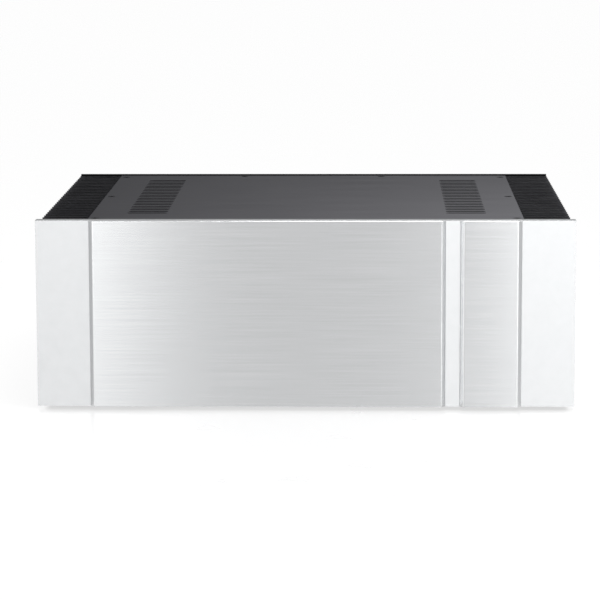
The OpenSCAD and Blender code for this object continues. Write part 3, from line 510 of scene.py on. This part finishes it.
# %% [markdown]
# ### Boards, tape, sleeves, cement and glass
# Solder mask is a thin glossy green varnish that lets the copper tracks show as a lighter green,
# in straight runs. The transformer is wrapped in polyester tape, which laps itself every few
# millimetres. Capacitors wear a shrunk plastic sleeve, and the white resistors are filled with
# sandy cement. The fuse is a glass tube.

# %% Inside finishes
def solder_mask():
    finish = new_finish("green_solder_mask", "#1D5C39", 0.25, IOR=1.5, Coat_Weight=0.4)
    place = add_node(finish, "ShaderNodeTexCoord")
    runs = add_node(finish, "ShaderNodeTexBrick",
                    {"offset": 0.5},
                    {"Scale": 1 / (11 * MM), "Color1": linear("#1B5735"),
                     "Color2": linear("#22663F"), "Mortar": linear("#2C7A4C"),
                     "Mortar Size": 0.06, "Brick Width": 1.6, "Row Height": 0.35},
                    {"Vector": (place, "Object")}, {"Color": "Base Color"})
    add_node(finish, "ShaderNodeBump", values={"Strength": 0.5, "Distance": 0.03 * MM},
             links={"Height": (runs, "Fac")}, feeds={"Normal": "Normal"})
    return finish


def winding_tape():
    finish = new_finish("polyester_winding_tape", "#C99A2E", 0.3, IOR=1.55, Coat_Weight=0.3)
    film = grain(finish, (14, 14, 14), 3)
    tint(finish, film, "#B98A24", "#D6A93D")
    vary(finish, film, 0.24, 0.4, "Roughness")
    emboss(finish, film, 0.2)
    return finish


def capacitor_sleeve():
    finish = new_finish("shrunk_blue_sleeve", "#1B2A55", 0.28, IOR=1.53)
    pull = grain(finish, (5, 5, 40), 3)
    tint(finish, pull, "#172448", "#22346A")
    vary(finish, pull, 0.22, 0.36, "Roughness")
    emboss(finish, pull, 0.03)
    return finish


def sandy_cement():
    finish = new_finish("cement_filled_ceramic", "#DEDCD3", 0.8, IOR=1.5)
    sand = grain(finish, (0.5, 0.5, 0.5), 4)
    tint(finish, sand, "#CFCCC2", "#E7E5DD")
    emboss(finish, sand, 0.06)
    return finish


def fuse_tube():
    finish = new_finish("clear_fuse_glass", "#F2F7F6", 0.04, IOR=1.5, Transmission_Weight=0.92)
    wipe = grain(finish, (4, 4, 4), 2)
    vary(finish, wipe, 0.02, 0.09, "Roughness")
    return finish


board_green, tape, sleeve = solder_mask(), winding_tape(), capacitor_sleeve()
cement, fuse_glass = sandy_cement(), fuse_tube()
print("inside finishes are ready")

# %% [markdown]
# ## The CAD parts get their finishes
# The record names a material slot for each CAD node. A node whose shape is already right only
# needs its slot's finish, put into every material slot of its object. The pieces that are
# modelled again below take theirs from the same table.

# %% Dress the CAD nodes
finish_of_slot = {
    "panel_aluminium": silver_blast, "fascia_aluminium": silver_brush,
    "heatsink_aluminium": heatsink_black, "cover_aluminium": dark_brush,
    "chassis_steel": chassis_black, "black_steel": screw_black, "bright_steel": zinc,
    "black_rubber": rubber, "winding_tape": tape, "board_laminate": board_green,
    "capacitor_sleeve": sleeve, "black_plastic": black_matt, "grey_silicone": silicone,
    "white_ceramic": cement, "plated_brass": gold, "nickel": nickel, "fuse_glass": fuse_glass,
    "red_plastic": red_gloss, "black_gloss_plastic": black_gloss, "power_lead": red_lead,
    "signal_lead": white_lead,
}
slot_of_node = {part["node"]: part["material_slot"] for part in frame["record"]["subparts"]}
body_of_node = {node: cad["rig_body"] for node, cad in frame["nodes"].items()}


def dress(piece, finish):
    """Gives a piece one finish all over."""
    if piece.data.materials:
        for i in range(len(piece.data.materials)):
            piece.data.materials[i] = finish
    else:
        piece.data.materials.append(finish)


def stand_for(piece, node, finish=None):
    """A finished piece takes a node's body and the finish of its slot, and the node is hidden."""
    dress(piece, finish or finish_of_slot[slot_of_node[node]])
    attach(piece, body_of_node[node])
    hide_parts(node)
    print(piece.name, "stands for", node, "with", len(piece.data.polygons), "faces")
    return piece


for node, cad in frame["nodes"].items():
    dress(cad, finish_of_slot[slot_of_node[node]])
dress(frame["nodes"]["rear_panel"], rear_grey)
print(len(frame["nodes"]), "nodes dressed")

# %% [markdown]
# ## The front
# ### Raised front plates
# Two brushed plates stand proud of the front panel, with a groove between them. Their side edges
# are milled to a steep slope. The slopes were cut after brushing, so they have no grain and are
# brighter. The two beside the groove face each other and throw light back and forth, so they look
# almost as white as the groove itself. They get a greyer copy of the slope finish, a painted shade
# that keeps them just below white. A finish is put on some of a piece's faces by a test of
# which way each one looks.

# %% Finish of the slopes
def cut_slope(name, dark, light):
    """Smooth milled metal, with faint tool passes up the slope."""
    finish = new_finish(name, light, 0.24, Metallic=1.0)
    passes = grain(finish, (0.5, 0.5, 40), 3)
    tint(finish, passes, dark, light)
    vary(finish, passes, 0.20, 0.30, "Roughness")
    return finish


def second_finish(piece, finish, test):
    """Gives the faces that pass a test another finish."""
    piece.data.materials.append(finish)
    other = len(piece.data.materials) - 1
    chosen = [face for face in piece.data.polygons if test(face)]
    for face in chosen:
        face.material_index = other
    print(piece.name, len(chosen), "faces in", finish.name)


milled_slope = cut_slope("milled_silver_slope", "#D6D7D8", "#DEDFE0")
# painted shade: a greyer copy of the slope finish, for the two slopes beside the groove
groove_slope_painted_shade = cut_slope("silver_slope_painted_shade", "#CBCCCD", "#D2D3D4")
print(milled_slope.name, groove_slope_painted_shade.name)

# %% [markdown]
# Where a slope meets the flat face, a narrow crest is left that catches the light. Each plate
# starts as a box, its front face is drawn in at the sides by the width of the slope, and its edges
# are broken. An inset keeps the brushed field apart from the crest.

# %% Main and small front plates
SLOPE = 3.2 * MM
CREST = 1.2 * MM


def front_plate(node, name, groove_side):
    """A brushed plate with sloped sides. groove_side is 1 where the groove is on its right."""
    low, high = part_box(node)
    plate = slab(name, low, high)
    bpy.ops.object.mode_set(mode="EDIT")
    pick("FACE", lambda face: face.normal.y < -0.9)
    width = high.x - low.x
    bpy.ops.transform.resize(value=((width - 2 * SLOPE) / width, 1, 1),
                             center_override=(low + high) / 2)
    pick("FACE", lambda face: face.normal.y < -0.9)
    bpy.ops.mesh.inset(thickness=CREST)
    bpy.ops.object.mode_set(mode="OBJECT")
    break_edges(plate, 0.35 * MM, segments=3)
    stand_for(plate, node)
    second_finish(plate, milled_slope, lambda face: face.normal.x * groove_side < -0.3)
    # painted shade: the slopes beside the groove take the greyer copy of the slope finish
    second_finish(plate, groove_slope_painted_shade, lambda face: face.normal.x * groove_side > 0.3)


front_plate("main_fascia", "main_front_plate", 1)
front_plate("small_fascia", "small_front_plate", -1)

# %% [markdown]
# ### Front panel
# The panel is one thick plate with counterbored bolt holes that the raised plates hide. Its CAD
# shape is right, so its mesh is copied, merged, and given broken edges, which the exact solid
# doesn't have. The narrow rounding along the top is what shows as a light line. The edges were
# milled and only the face was blasted, so the top and bottom are a darker, plainer grey.

# %% Front panel with broken edges
STRAIGHT = 0.95  # a face whose normal has this much of an axis looks straight along it


def milled_silver_edge():
    finish = new_finish("milled_silver_edge", "#9FA0A1", 0.42, Metallic=1.0,
                        Specular_Tint=linear("#A8A9AA"))
    cutter = grain(finish, (0.7, 12, 12), 3)
    tint(finish, cutter, "#989999", "#A6A7A8")
    vary(finish, cutter, 0.38, 0.48, "Roughness")
    return finish


milled_edge = milled_silver_edge()
panel = break_edges(cad_copy("front_panel", "thick_front_panel"), 0.3 * MM, segments=2)
stand_for(panel, "front_panel")
second_finish(panel, milled_edge, lambda face: abs(face.normal.z) > STRAIGHT)

# %% [markdown]
# ## The case
# ### Heatsinks
# Each heatsink is an extruded bar, cut to length by a saw and dyed. The saw leaves the cut ends
# rough, and rough metal soaks up so much dye that it hardly shines, even at a low angle. The
# drawn sides keep a soft sheen, so the fins show as stripes. In the shader a dark specular tint
# takes away the gloss that bare metal has at a low angle.

# %% Finish of the cut ends
def sawn_black_anodise():
    finish = new_finish("sawn_ends_black_anodise", "#131314", 0.6, Metallic=1.0,
                        Specular_Tint=linear("#0C0C0D"))
    strokes = grain(finish, (25, 0.9, 5), 4)
    tint(finish, strokes, "#0F0F10", "#19191A")
    vary(finish, strokes, 0.48, 0.62, "Roughness")
    emboss(finish, strokes, 0.01)
    return finish


sawn_black = sawn_black_anodise()
print(sawn_black.name)

# %% [markdown]
# The shape of the fins is already right in the CAD. The mesh is a merged copy of the node with
# broken edges, and every face that looks straight up or down gets the finish of a cut end.

# %% Heatsinks with sawn ends
for side in ("left", "right"):
    sink = cad_copy(f"{side}_heatsink", f"{side}_finned_heatsink")
    break_edges(sink, 0.2 * MM, segments=1)
    stand_for(sink, f"{side}_heatsink")
    second_finish(sink, sawn_black, lambda face: abs(face.normal.z) > STRAIGHT)

# %% [markdown]
# ### Top cover
# The cover is a brushed sheet with two fields of slots, punched after brushing. Its slot walls get
# a near-black, dull painted shade, darker than the face. Walls are the faces that look sideways and
# lie inside the sheet's outline. The bottom plate is punched in the same way, with the same painted
# shade on its slot walls.

# %% Cover with dark slot walls
# painted shade: a near-black, dull finish put where shade lies, on slot walls and the rear panel's
# top
def painted_shade_edge():
    finish = new_finish("near_black_edge_painted_shade", "#101011", 0.7, Metallic=1.0,
                        Specular_Tint=linear("#0C0C0D"))
    shade_streaks = grain(finish, (0.6, 0.6, 2.5), 3)
    tint(finish, shade_streaks, "#0C0C0D", "#161617")
    vary(finish, shade_streaks, 0.62, 0.8, "Roughness")
    return finish


near_black_painted_shade = painted_shade_edge()


def punched_sheet(node, name):
    """A sheet with broken edges, its slot walls in the near-black painted shade."""
    low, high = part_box(node)
    sheet = stand_for(break_edges(cad_copy(node, name), 0.12 * MM, segments=1), node)
    inset = 1 * MM

    def in_a_slot(face):
        x, y, _ = face.center
        inside = low.x + inset < x < high.x - inset and low.y + inset < y < high.y - inset
        return inside and abs(face.normal.z) < 0.9

    # painted shade: the slot walls are made near-black
    second_finish(sheet, near_black_painted_shade, in_a_slot)


punched_sheet("top_cover", "brushed_top_cover")
punched_sheet("bottom_plate", "coated_bottom_plate")

# %% [markdown]
# ### Rear panel and feet
# The rear panel is milled plate with all its openings already in the CAD, so it also gets broken
# edges and its etched finish. Its inner face and its top edge take the near-black painted shade of
# the slot walls, and show from the front as a thin black line. The feet are moulded rubber with a
# soft rounded rim.

# %% Rear panel and feet
back = break_edges(cad_copy("rear_panel", "etched_rear_panel"), 0.25 * MM, segments=2)
stand_for(back, "rear_panel", rear_grey)
# painted shade: the rear panel's inner face and top edge are made near-black
second_finish(back, near_black_painted_shade, lambda face: max(face.normal.z, -face.normal.y) > STRAIGHT)
feet = break_edges(cad_copy("feet", "rubber_feet"), 0.5 * MM, segments=3)
stand_for(feet, "feet")

# %% [markdown]
# ## Screws
# A node of screws holds many alike. One is modelled, and a copy goes to the place of each CAD
# screw. To find the places, a copy of the node is parted into its loose pieces and each is
# measured, so nothing is typed in twice.

# %% Finding and filling the places
def loose_boxes(node):
    """The lowest and highest corners of each separate solid in a CAD node."""
    only(cad_copy(node, "measured"))
    bpy.ops.object.mode_set(mode="EDIT")
    bpy.ops.mesh.select_all(action="SELECT")
    bpy.ops.mesh.separate(type="LOOSE")
    bpy.ops.object.mode_set(mode="OBJECT")
    boxes = []
    for part in list(bpy.context.selected_objects):
        points = [v.co for v in part.data.vertices]
        boxes.append((Vector(min(p[i] for p in points) for i in range(3)),
                      Vector(max(p[i] for p in points) for i in range(3))))
        bpy.data.objects.remove(part)
    return sorted(boxes, key=lambda box: tuple(round(v, 5) for v in box[0]))


OUTWARD = {
    "up": Matrix.Identity(4),
    "down": Matrix.Rotation(math.pi, 4, "X"),
    "back": Matrix(((-1, 0, 0, 0), (0, 0, 1, 0), (0, 1, 0, 0), (0, 0, 0, 1))),
}


def head_place(box, facing):
    """Where a turned part's origin goes: the middle of the end that faces outwards."""
    low, high = box
    end = (low + high) / 2
    if facing == "up":
        end.z = high.z
    elif facing == "down":
        end.z = low.z
    else:
        end.y = high.y
    return Matrix.Translation(end) @ OUTWARD[facing]


def length_along(box, facing):
    size = box[1] - box[0]
    return size.y if facing == "back" else size.z


def fill_node(node, name, facing, model):
    """Puts a copy of a model at each solid of a node and joins them into one piece."""
    boxes = loose_boxes(node)
    copies = [copy_to(model, f"{name}_{i}", head_place(box, facing))
              for i, box in enumerate(boxes)]
    piece = gather(name, copies)
    shade(piece)
    bpy.data.objects.remove(model)
    return stand_for(piece, node)


print("cover screws:", len(loose_boxes("cover_screws")))

# %% [markdown]
# ### Countersunk socket screws
# The cover's screws lie flush, with a hexagon socket. A turned outline gives the cone and the
# shank, a two-millimetre hexagon is cut into the head, and the rim is broken.

# %% Cover screws
def countersunk_screw(name, head_d, shank_d, length, key):
    """A screw whose head's top is at the origin, its shank pointing down Z."""
    head, shank = head_d / 2, shank_d / 2
    cone = head - shank
    screw = turn(name, [(0, -length), (shank * 0.8, -length), (shank, -length + shank * 0.4),
                        (shank, -cone - 0.1 * MM), (head, -0.1 * MM), (head - 0.12 * MM, 0),
                        (0, 0)], 24)
    socket = prism("socket", key / math.sqrt(3), 2.4 * MM, 6)
    socket.data.transform(Matrix.Translation((0, 0, -1.4 * MM)))
    return combine(screw, socket, "DIFFERENCE")


first = loose_boxes("cover_screws")[0]
model = countersunk_screw("cover_screw", first[1].x - first[0].x, 3 * MM,
                          length_along(first, "up"), 2 * MM)
fill_node("cover_screws", "cover_socket_screws", "up", model)

# %% [markdown]
# ### Pan-head screws
# The rear and the bottom are held by pan-head screws with a cross recess. The head is a low dome,
# and the recess is two tapering slots, cut one after the other. A slot starts as a box whose
# lower face is drawn in, so that it narrows like the tip of a driver.

# %% Pan-head screws
def cross_slot(size, depth):
    """A box-shaped cutter, narrower at its lower end."""
    slot = slab("slot", (-size[0] / 2, -size[1] / 2, -depth), (size[0] / 2, size[1] / 2, depth))
    bpy.ops.object.mode_set(mode="EDIT")
    pick("FACE", lambda face: face.normal.z < -0.9)
    bpy.ops.transform.resize(value=(0.55, 0.55, 1), center_override=(0, 0, -depth))
    bpy.ops.object.mode_set(mode="OBJECT")
    return slot


def pan_screw(name, box, facing, shank_d=3 * MM, head_h=2 * MM):
    """A screw whose head's top is at the origin, its shank pointing down Z."""
    size = box[1] - box[0]
    head, shank, length = size.x / 2, shank_d / 2, length_along(box, facing)
    screw = turn(name, [(0, -length), (shank * 0.8, -length), (shank, -length + shank * 0.4),
                        (shank, -head_h), (head * 0.96, -head_h), (head, -head_h * 0.85),
                        (head * 0.97, -head_h * 0.5), (head * 0.82, -head_h * 0.2),
                        (head * 0.5, -head_h * 0.04), (0, 0)], 24)
    for arm in ((head * 1.1, head * 0.28), (head * 0.28, head * 1.1)):
        screw = combine(screw, cross_slot(arm, head_h * 0.6), "DIFFERENCE")
    return screw


for node, facing in (("rear_panel_screws", "back"), ("inlet_screws", "back"),
                     ("input_screws", "back"), ("bottom_screws", "down")):
    first = loose_boxes(node)[0]
    fill_node(node, f"cross_{node}", facing, pan_screw(node, first, facing))

# %% [markdown]
# ## Rear fittings
# ### Speaker posts
# A post is a gold-flashed stud with a plug bore in its end, in a coloured bush, with a loose
# collar and a fluted cap that screws down on the wire. The cap is turned with rounded rims, then
# twelve flutes are cut by a ring of round cutters that start a little way up, and the new edges
# are broken. One cap and one collar are modelled and copied, each copy riding on its own body.

# %% Fluted caps
posts = ("left_black", "left_red", "right_black", "right_red")
cap_low, cap_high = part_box("left_black_cap")
cap_r = (cap_high.x - cap_low.x) / 2
cap_l = cap_high.y - cap_low.y
bore_r = 3.05 * MM
rim = 0.6 * MM
FLUTES = 12
flute_r, flute_out, flute_start = 1.3 * MM, 0.6 * MM, 4 * MM


def fluted_cap():
    cap = turn("cap", [(bore_r, 0), (cap_r - rim, 0), (cap_r, rim), (cap_r, cap_l - 2 * rim),
                       (cap_r - 0.3 * rim, cap_l - rim), (cap_r - 2 * rim, cap_l),
                       (bore_r + rim, cap_l), (bore_r, cap_l - rim), (bore_r, 0)], 96)
    cutter = prism("flute", flute_r, cap_l, 20)
    cutter.data.transform(Matrix.Translation((cap_r + flute_out, 0, flute_start)))
    ring = [copy_to(cutter, f"flute_{i}", Matrix.Rotation(2 * math.pi * i / FLUTES, 4, "Z"))
            for i in range(FLUTES)]
    bpy.data.objects.remove(cutter)
    cap = combine(cap, gather("flutes", ring), "DIFFERENCE")
    return break_edges(cap, 0.12 * MM, angle=40)


cap_model = fluted_cap()
for post in posts:
    node = f"{post}_cap"
    low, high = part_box(node)
    place = Matrix.Translation(((low.x + high.x) / 2, low.y, (low.z + high.z) / 2))
    cap = copy_to(cap_model, f"{post}_fluted_cap", place @ OUTWARD["back"])
    stand_for(cap, node)
    shade(cap)
bpy.data.objects.remove(cap_model)

# %% [markdown]
# The collar is a plain turned ring with a small edge on both rims. The studs, bushes and nuts are
# right in the CAD, so they are merged copies with broken edges.

# %% Collars, studs and bushes
collar_low, collar_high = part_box("left_black_collar")
collar_r = (collar_high.x - collar_low.x) / 2
collar_t = collar_high.y - collar_low.y
edge = 0.25 * MM
collar_model = turn("collar", [(bore_r, 0), (collar_r - edge, 0), (collar_r, edge),
                               (collar_r, collar_t - edge), (collar_r - edge, collar_t),
                               (bore_r, collar_t), (bore_r, 0)], 64)
for post in posts:
    node = f"{post}_collar"
    low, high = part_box(node)
    place = Matrix.Translation(((low.x + high.x) / 2, low.y, (low.z + high.z) / 2))
    collar = copy_to(collar_model, f"{post}_turned_collar", place @ OUTWARD["back"])
    stand_for(collar, node)
    shade(collar)
bpy.data.objects.remove(collar_model)

for node, name in (("post_studs", "gold_studs"), ("red_post_insulators", "red_bushes"),
                   ("black_post_insulators", "black_bushes"), ("post_nuts", "post_hex_nuts")):
    stand_for(break_edges(cad_copy(node, name), 0.2 * MM, angle=40), node)

# %% [markdown]
# ### Sockets, inlet and switch
# The input sockets are die-cast and nickel plated, and the inlet and switch are moulded, so all
# their outer corners are rounded by a few tenths of a millimetre. Moulding needs such corners
# to fill and to let go. The shapes come from the CAD, merged, and the Bevel modifier does the
# rest. The rocker, the drawer and the latches ride on their own bodies.

# %% Sockets, inlet and switch
for node, name, width in (
        ("left_input_socket", "left_cast_socket", 0.3),
        ("right_input_socket", "right_cast_socket", 0.3),
        ("left_input_latch", "left_press_latch", 0.3),
        ("right_input_latch", "right_press_latch", 0.3),
        ("input_inserts", "socket_inserts", 0.2), ("mains_inlet", "moulded_inlet", 0.5),
        ("mains_pins", "inlet_pins", 0.25), ("fuse_drawer", "moulded_fuse_drawer", 0.4),
        ("switch_frame", "moulded_switch_frame", 0.4), ("power_rocker", "moulded_rocker", 0.5)):
    stand_for(break_edges(cad_copy(node, name), width * MM, segments=3, angle=40), node)

# %% [markdown]
# ## Inside the case
# ### Toroidal transformer
# The core is wrapped with tape that passes through the hole and round the outside, each turn
# lapping the last. Seen from above, the laps are low radial pleats. A rounded section is spun
# in many steps, and then every second ring of points is pushed out a quarter of a millimetre.

# %% Wound transformer
ring_low, ring_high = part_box("transformer")
ring_r = (ring_high.x - ring_low.x) / 2
ring_h = ring_high.z - ring_low.z
hole_r = 22.5 * MM
turn_r = 12 * MM
CORNER_STEPS = 4


def wound_ring(pleats=72, lift=0.25 * MM):
    """A ring of tape whose pleats stand out by the lift."""
    outer, inner = ring_r - lift, hole_r + lift
    top = ring_h - lift - turn_r
    corners = ((inner + turn_r, turn_r, 180), (outer - turn_r, turn_r, 270),
               (outer - turn_r, top, 0), (inner + turn_r, top, 90))
    outline = []
    for x, z, start in corners:
        for i in range(CORNER_STEPS + 1):
            a = math.radians(start + i * 90 / CORNER_STEPS)
            outline.append((x + turn_r * math.cos(a), max(z + turn_r * math.sin(a), lift)))
    ring = turn("wound_transformer", outline + outline[:1], pleats * 2)
    half_pleat = math.pi / pleats
    only(ring)
    bpy.ops.object.mode_set(mode="EDIT")
    pick("VERT", lambda v: round(math.atan2(v.co.y, v.co.x) / half_pleat) % 2 == 0)
    bpy.ops.transform.shrink_fatten(value=lift)
    bpy.ops.object.mode_set(mode="OBJECT")
    middle = (ring_low + ring_high) / 2
    ring.data.transform(Matrix.Translation((middle.x, middle.y, ring_low.z)))
    return ring


ring = wound_ring()
stand_for(ring, "transformer")
shade(ring, 50)

# %% [markdown]
# ### Filter capacitors
# Each can wears a shrunk sleeve that curls over the rim and leaves the scored aluminium top bare.
# A bead is rolled into the can under the rim. The outline is spun, and the faces inside the curl
# take bare aluminium. Two shallow slots in the top are the score where the can opens if it fails.

# %% Capacitors
def bare_aluminium():
    finish = new_finish("bare_drawn_aluminium", "#C9CACC", 0.35, Metallic=1.0)
    smear = grain(finish, (3, 3, 3), 3)
    tint(finish, smear, "#BDBEC0", "#D4D5D7")
    vary(finish, smear, 0.3, 0.45, "Roughness")
    return finish


can_top = bare_aluminium()
can = loose_boxes("filter_capacitors")[0]
can_r, can_h = (can[1].x - can[0].x) / 2, can[1].z - can[0].z
foot_edge, curl_r, top_drop = 0.5 * MM, 0.8 * MM, 1.0 * MM
bead_depth, bead_low, bead_middle, bead_high = 0.9 * MM, -9 * MM, -7.6 * MM, -6.2 * MM
score_l, score_w, score_h = can_r * 1.3, 0.5 * MM, 2.6 * MM


def filter_can():
    """A sleeved can, its top at the origin. The curl stands above the bare top by its drop."""
    outline = [(0, -can_h), (can_r - foot_edge, -can_h), (can_r, -can_h + foot_edge),
               (can_r, bead_low), (can_r - bead_depth, bead_middle), (can_r, bead_high),
               (can_r, -curl_r), (can_r - curl_r, 0), (can_r - 2.2 * MM, -0.3 * MM),
               (can_r - 2.4 * MM, -top_drop), (0, -top_drop)]
    piece = turn("can", outline, 48)
    for size in ((score_l, score_w, score_h), (score_w, score_l, score_h)):
        score = slab("score", Vector(size) * -0.5, Vector(size) * 0.5)
        piece = combine(piece, score, "DIFFERENCE")
    return piece


cans = fill_node("filter_capacitors", "sleeved_capacitors", "up", filter_can())
curl = can[1].z - 0.5 * MM
second_finish(cans, can_top,
              lambda face: face.center.z < curl and face.center.z > curl - 1.6 * MM
              and face.normal.z > 0.5)

# %% [markdown]
# ### Transistors, fuse and the small parts
# The power transistors are moulded in black epoxy with tinned legs, so the legs take the zinc
# finish. The fuse is a glass tube with a plated cap pressed on each end.

# %% Transistors and fuse
transistors = break_edges(cad_copy("output_transistors", "moulded_transistors"), 0.3 * MM,
                          angle=40)
stand_for(transistors, "output_transistors")
body_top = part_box("transistor_insulators")[1].z - 1 * MM
second_finish(transistors, zinc, lambda face: face.center.z > body_top + 0.05 * MM)

fuse_low, fuse_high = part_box("fuse")
fuse_r = (fuse_high.z - fuse_low.z) / 2
fuse_l = fuse_high.x - fuse_low.x
cap_depth, cap_edge, step = 5.5 * MM, 0.3 * MM, 0.05 * MM
glass_r = fuse_r - 0.25 * MM
fuse_body = turn("glass_fuse", [(0, 0), (fuse_r - cap_edge, 0), (fuse_r, cap_edge),
                                (fuse_r, cap_depth), (glass_r, cap_depth + step),
                                (glass_r, fuse_l - cap_depth - step),
                                (fuse_r, fuse_l - cap_depth), (fuse_r, fuse_l - cap_edge),
                                (fuse_r - cap_edge, fuse_l), (0, fuse_l)], 32)
middle = (fuse_low + fuse_high) / 2
fuse_body.data.transform(Matrix.Translation((fuse_low.x, middle.y, middle.z))
                         @ Matrix.Rotation(math.pi / 2, 4, "Y"))
stand_for(fuse_body, "fuse")
second_finish(fuse_body, nickel,
              lambda face: abs(face.center.x - middle.x) > fuse_l / 2 - cap_depth)
shade(fuse_body)

# %% [markdown]
# The wires' walls are flat strips in the CAD, so their copies are only shaded smooth. The last
# few parts are plain turned or stamped pieces that hide inside the case.

# %% Wires and small parts
for node in ("power_wiring", "signal_wiring"):
    stand_for(shade(cad_copy(node, f"smooth_{node}"), 60), node)
for node in ("transformer_nut", "transformer_washer", "cover_blocks", "rectifiers"):
    stand_for(break_edges(cad_copy(node, f"finished_{node}"), 0.25 * MM, angle=40), node)

# %% [markdown]
# ## The studio
# The amplifier stands on a lit white table in a white tent, so its plates mirror soft white all
# round. The table glows evenly through its acrylic top, which is why hardly any shadow falls on
# it, and its satin skin gives back a faint reflection of the front. Its shader is a mix of glow, a
# little matt white and a rough gloss, in shares that add up to the white of the tent.

# %% Lit table and white tent
TABLE_SIZE = 24
GLOW = 0.98
GLOSS_SHARE, MATT_SHARE = 0.27, 0.06

bpy.ops.object.select_all(action="DESELECT")
bpy.ops.mesh.primitive_plane_add(size=TABLE_SIZE, location=(0, 0, 0))
floor = bpy.context.object
floor.name = "studio_table"
table_white = bpy.data.materials.new("lit_satin_acrylic")
table_white.use_nodes = True
tree = table_white.node_tree
tree.nodes.remove(tree.nodes["Principled BSDF"])
glow = add_node(table_white, "ShaderNodeEmission", values={"Strength": GLOW})
matt = add_node(table_white, "ShaderNodeBsdfDiffuse", values={"Color": linear("#FAFAFA")})
haze = grain(table_white, (60, 60, 60))
satin = add_node(table_white, "ShaderNodeMapRange",
                 values={"To Min": 0.26, "To Max": 0.3}, links={"Value": (haze, "Fac")})
gloss = add_node(table_white, "ShaderNodeBsdfGlossy", values={"Color": (1, 1, 1, 1)},
                 links={"Roughness": (satin, "Result")})


def mix_shaders(first, second, share):
    """Mixes two shaders' outputs. share is the second one's part of the mix."""
    mix = add_node(table_white, "ShaderNodeMixShader", values={"Fac": share})
    tree.links.new(first, mix.inputs[1])
    tree.links.new(second, mix.inputs[2])
    return mix.outputs["Shader"]


skin_share = GLOSS_SHARE + MATT_SHARE
skin = mix_shaders(matt.outputs["BSDF"], gloss.outputs["BSDF"], GLOSS_SHARE / skin_share)
lit = mix_shaders(glow.outputs["Emission"], skin, skin_share)
tree.links.new(lit, tree.nodes["Material Output"].inputs["Surface"])
dress(floor, table_white)

world = bpy.data.worlds.new("white_tent")
world.use_nodes = True
bpy.context.scene.world = world
tent = world.node_tree.nodes["Background"]
tent.inputs["Color"].default_value = (1, 1, 1, 1)
tent.inputs["Strength"].default_value = 1.0
print("table and tent are ready")

# %% [markdown]
# In an even tent, flat metal would look flat. Two tall soft boxes stand far back on either side of
# the camera, so that each plate mirrors one of them a little at its outer end and brightens
# towards it. Two small boxes above lift the cover, more on the right than on the left. The camera
# doesn't see the boxes themselves.

# %% Soft boxes
def soft_box(name, place, aim, width, height, power):
    """A rectangle of even light at a place, turned to a point. Sizes in metres, power in watts."""
    light = bpy.data.lights.new(name, "AREA")
    light.shape = "RECTANGLE"
    light.size, light.size_y = width, height
    light.energy = power
    box = bpy.data.objects.new(name, light)
    bpy.context.scene.collection.objects.link(box)
    box.location = place
    box.rotation_euler = (Vector(aim) - Vector(place)).to_track_quat("-Z", "Y").to_euler()
    box.visible_camera = False
    print(name, power, "W")


soft_box("left_box", (-0.9, -2.9, 0.7), (-0.1, -0.18, 0.08), 1.1, 1.4, 17)
soft_box("right_box", (0.93, -2.9, 0.7), (0.1, -0.18, 0.08), 1.1, 1.4, 32)
soft_box("top_box", (0.14, -0.42, 0.88), (0.06, -0.08, 0.15), 0.5, 0.5, 10)
soft_box("near_right_box", (0.32, -0.12, 0.62), (0.1, -0.05, 0.15), 0.5, 0.4, 2.5)

# %% [markdown]
# ## The camera
# A long lens, well back and a little above the amplifier, keeps the front nearly square to the eye
# and shows a narrow band of the top. It stands just right of the middle and is turned back to it.
# The view transform is set to Standard, because the default one would dull the white of the tent.

# %% Camera
LENS_MM = 170
SENSOR_MM = 36
RIGHT, BACK, ABOVE = 0.0501, 2.232, 0.4298  # metres
PAN, DOWN, ROLL = 0.0243, 0.1527, -0.0028  # radians

lens = bpy.data.cameras.new("product_lens")
lens.lens = LENS_MM
lens.sensor_width = SENSOR_MM
camera = bpy.data.objects.new("camera", lens)
bpy.context.scene.collection.objects.link(camera)
panel_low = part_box("front_panel")[0]
camera.location = (RIGHT, panel_low.y - BACK, panel_low.z + ABOVE)
aim = (Matrix.Rotation(PAN, 4, "Z") @ Matrix.Rotation(math.pi / 2 - DOWN, 4, "X")
       @ Matrix.Rotation(ROLL, 4, "Z"))
camera.rotation_euler = aim.to_euler()
bpy.context.scene.camera = camera
bpy.context.scene.view_settings.view_transform = "Standard"
print("camera at", [round(v, 3) for v in camera.location])
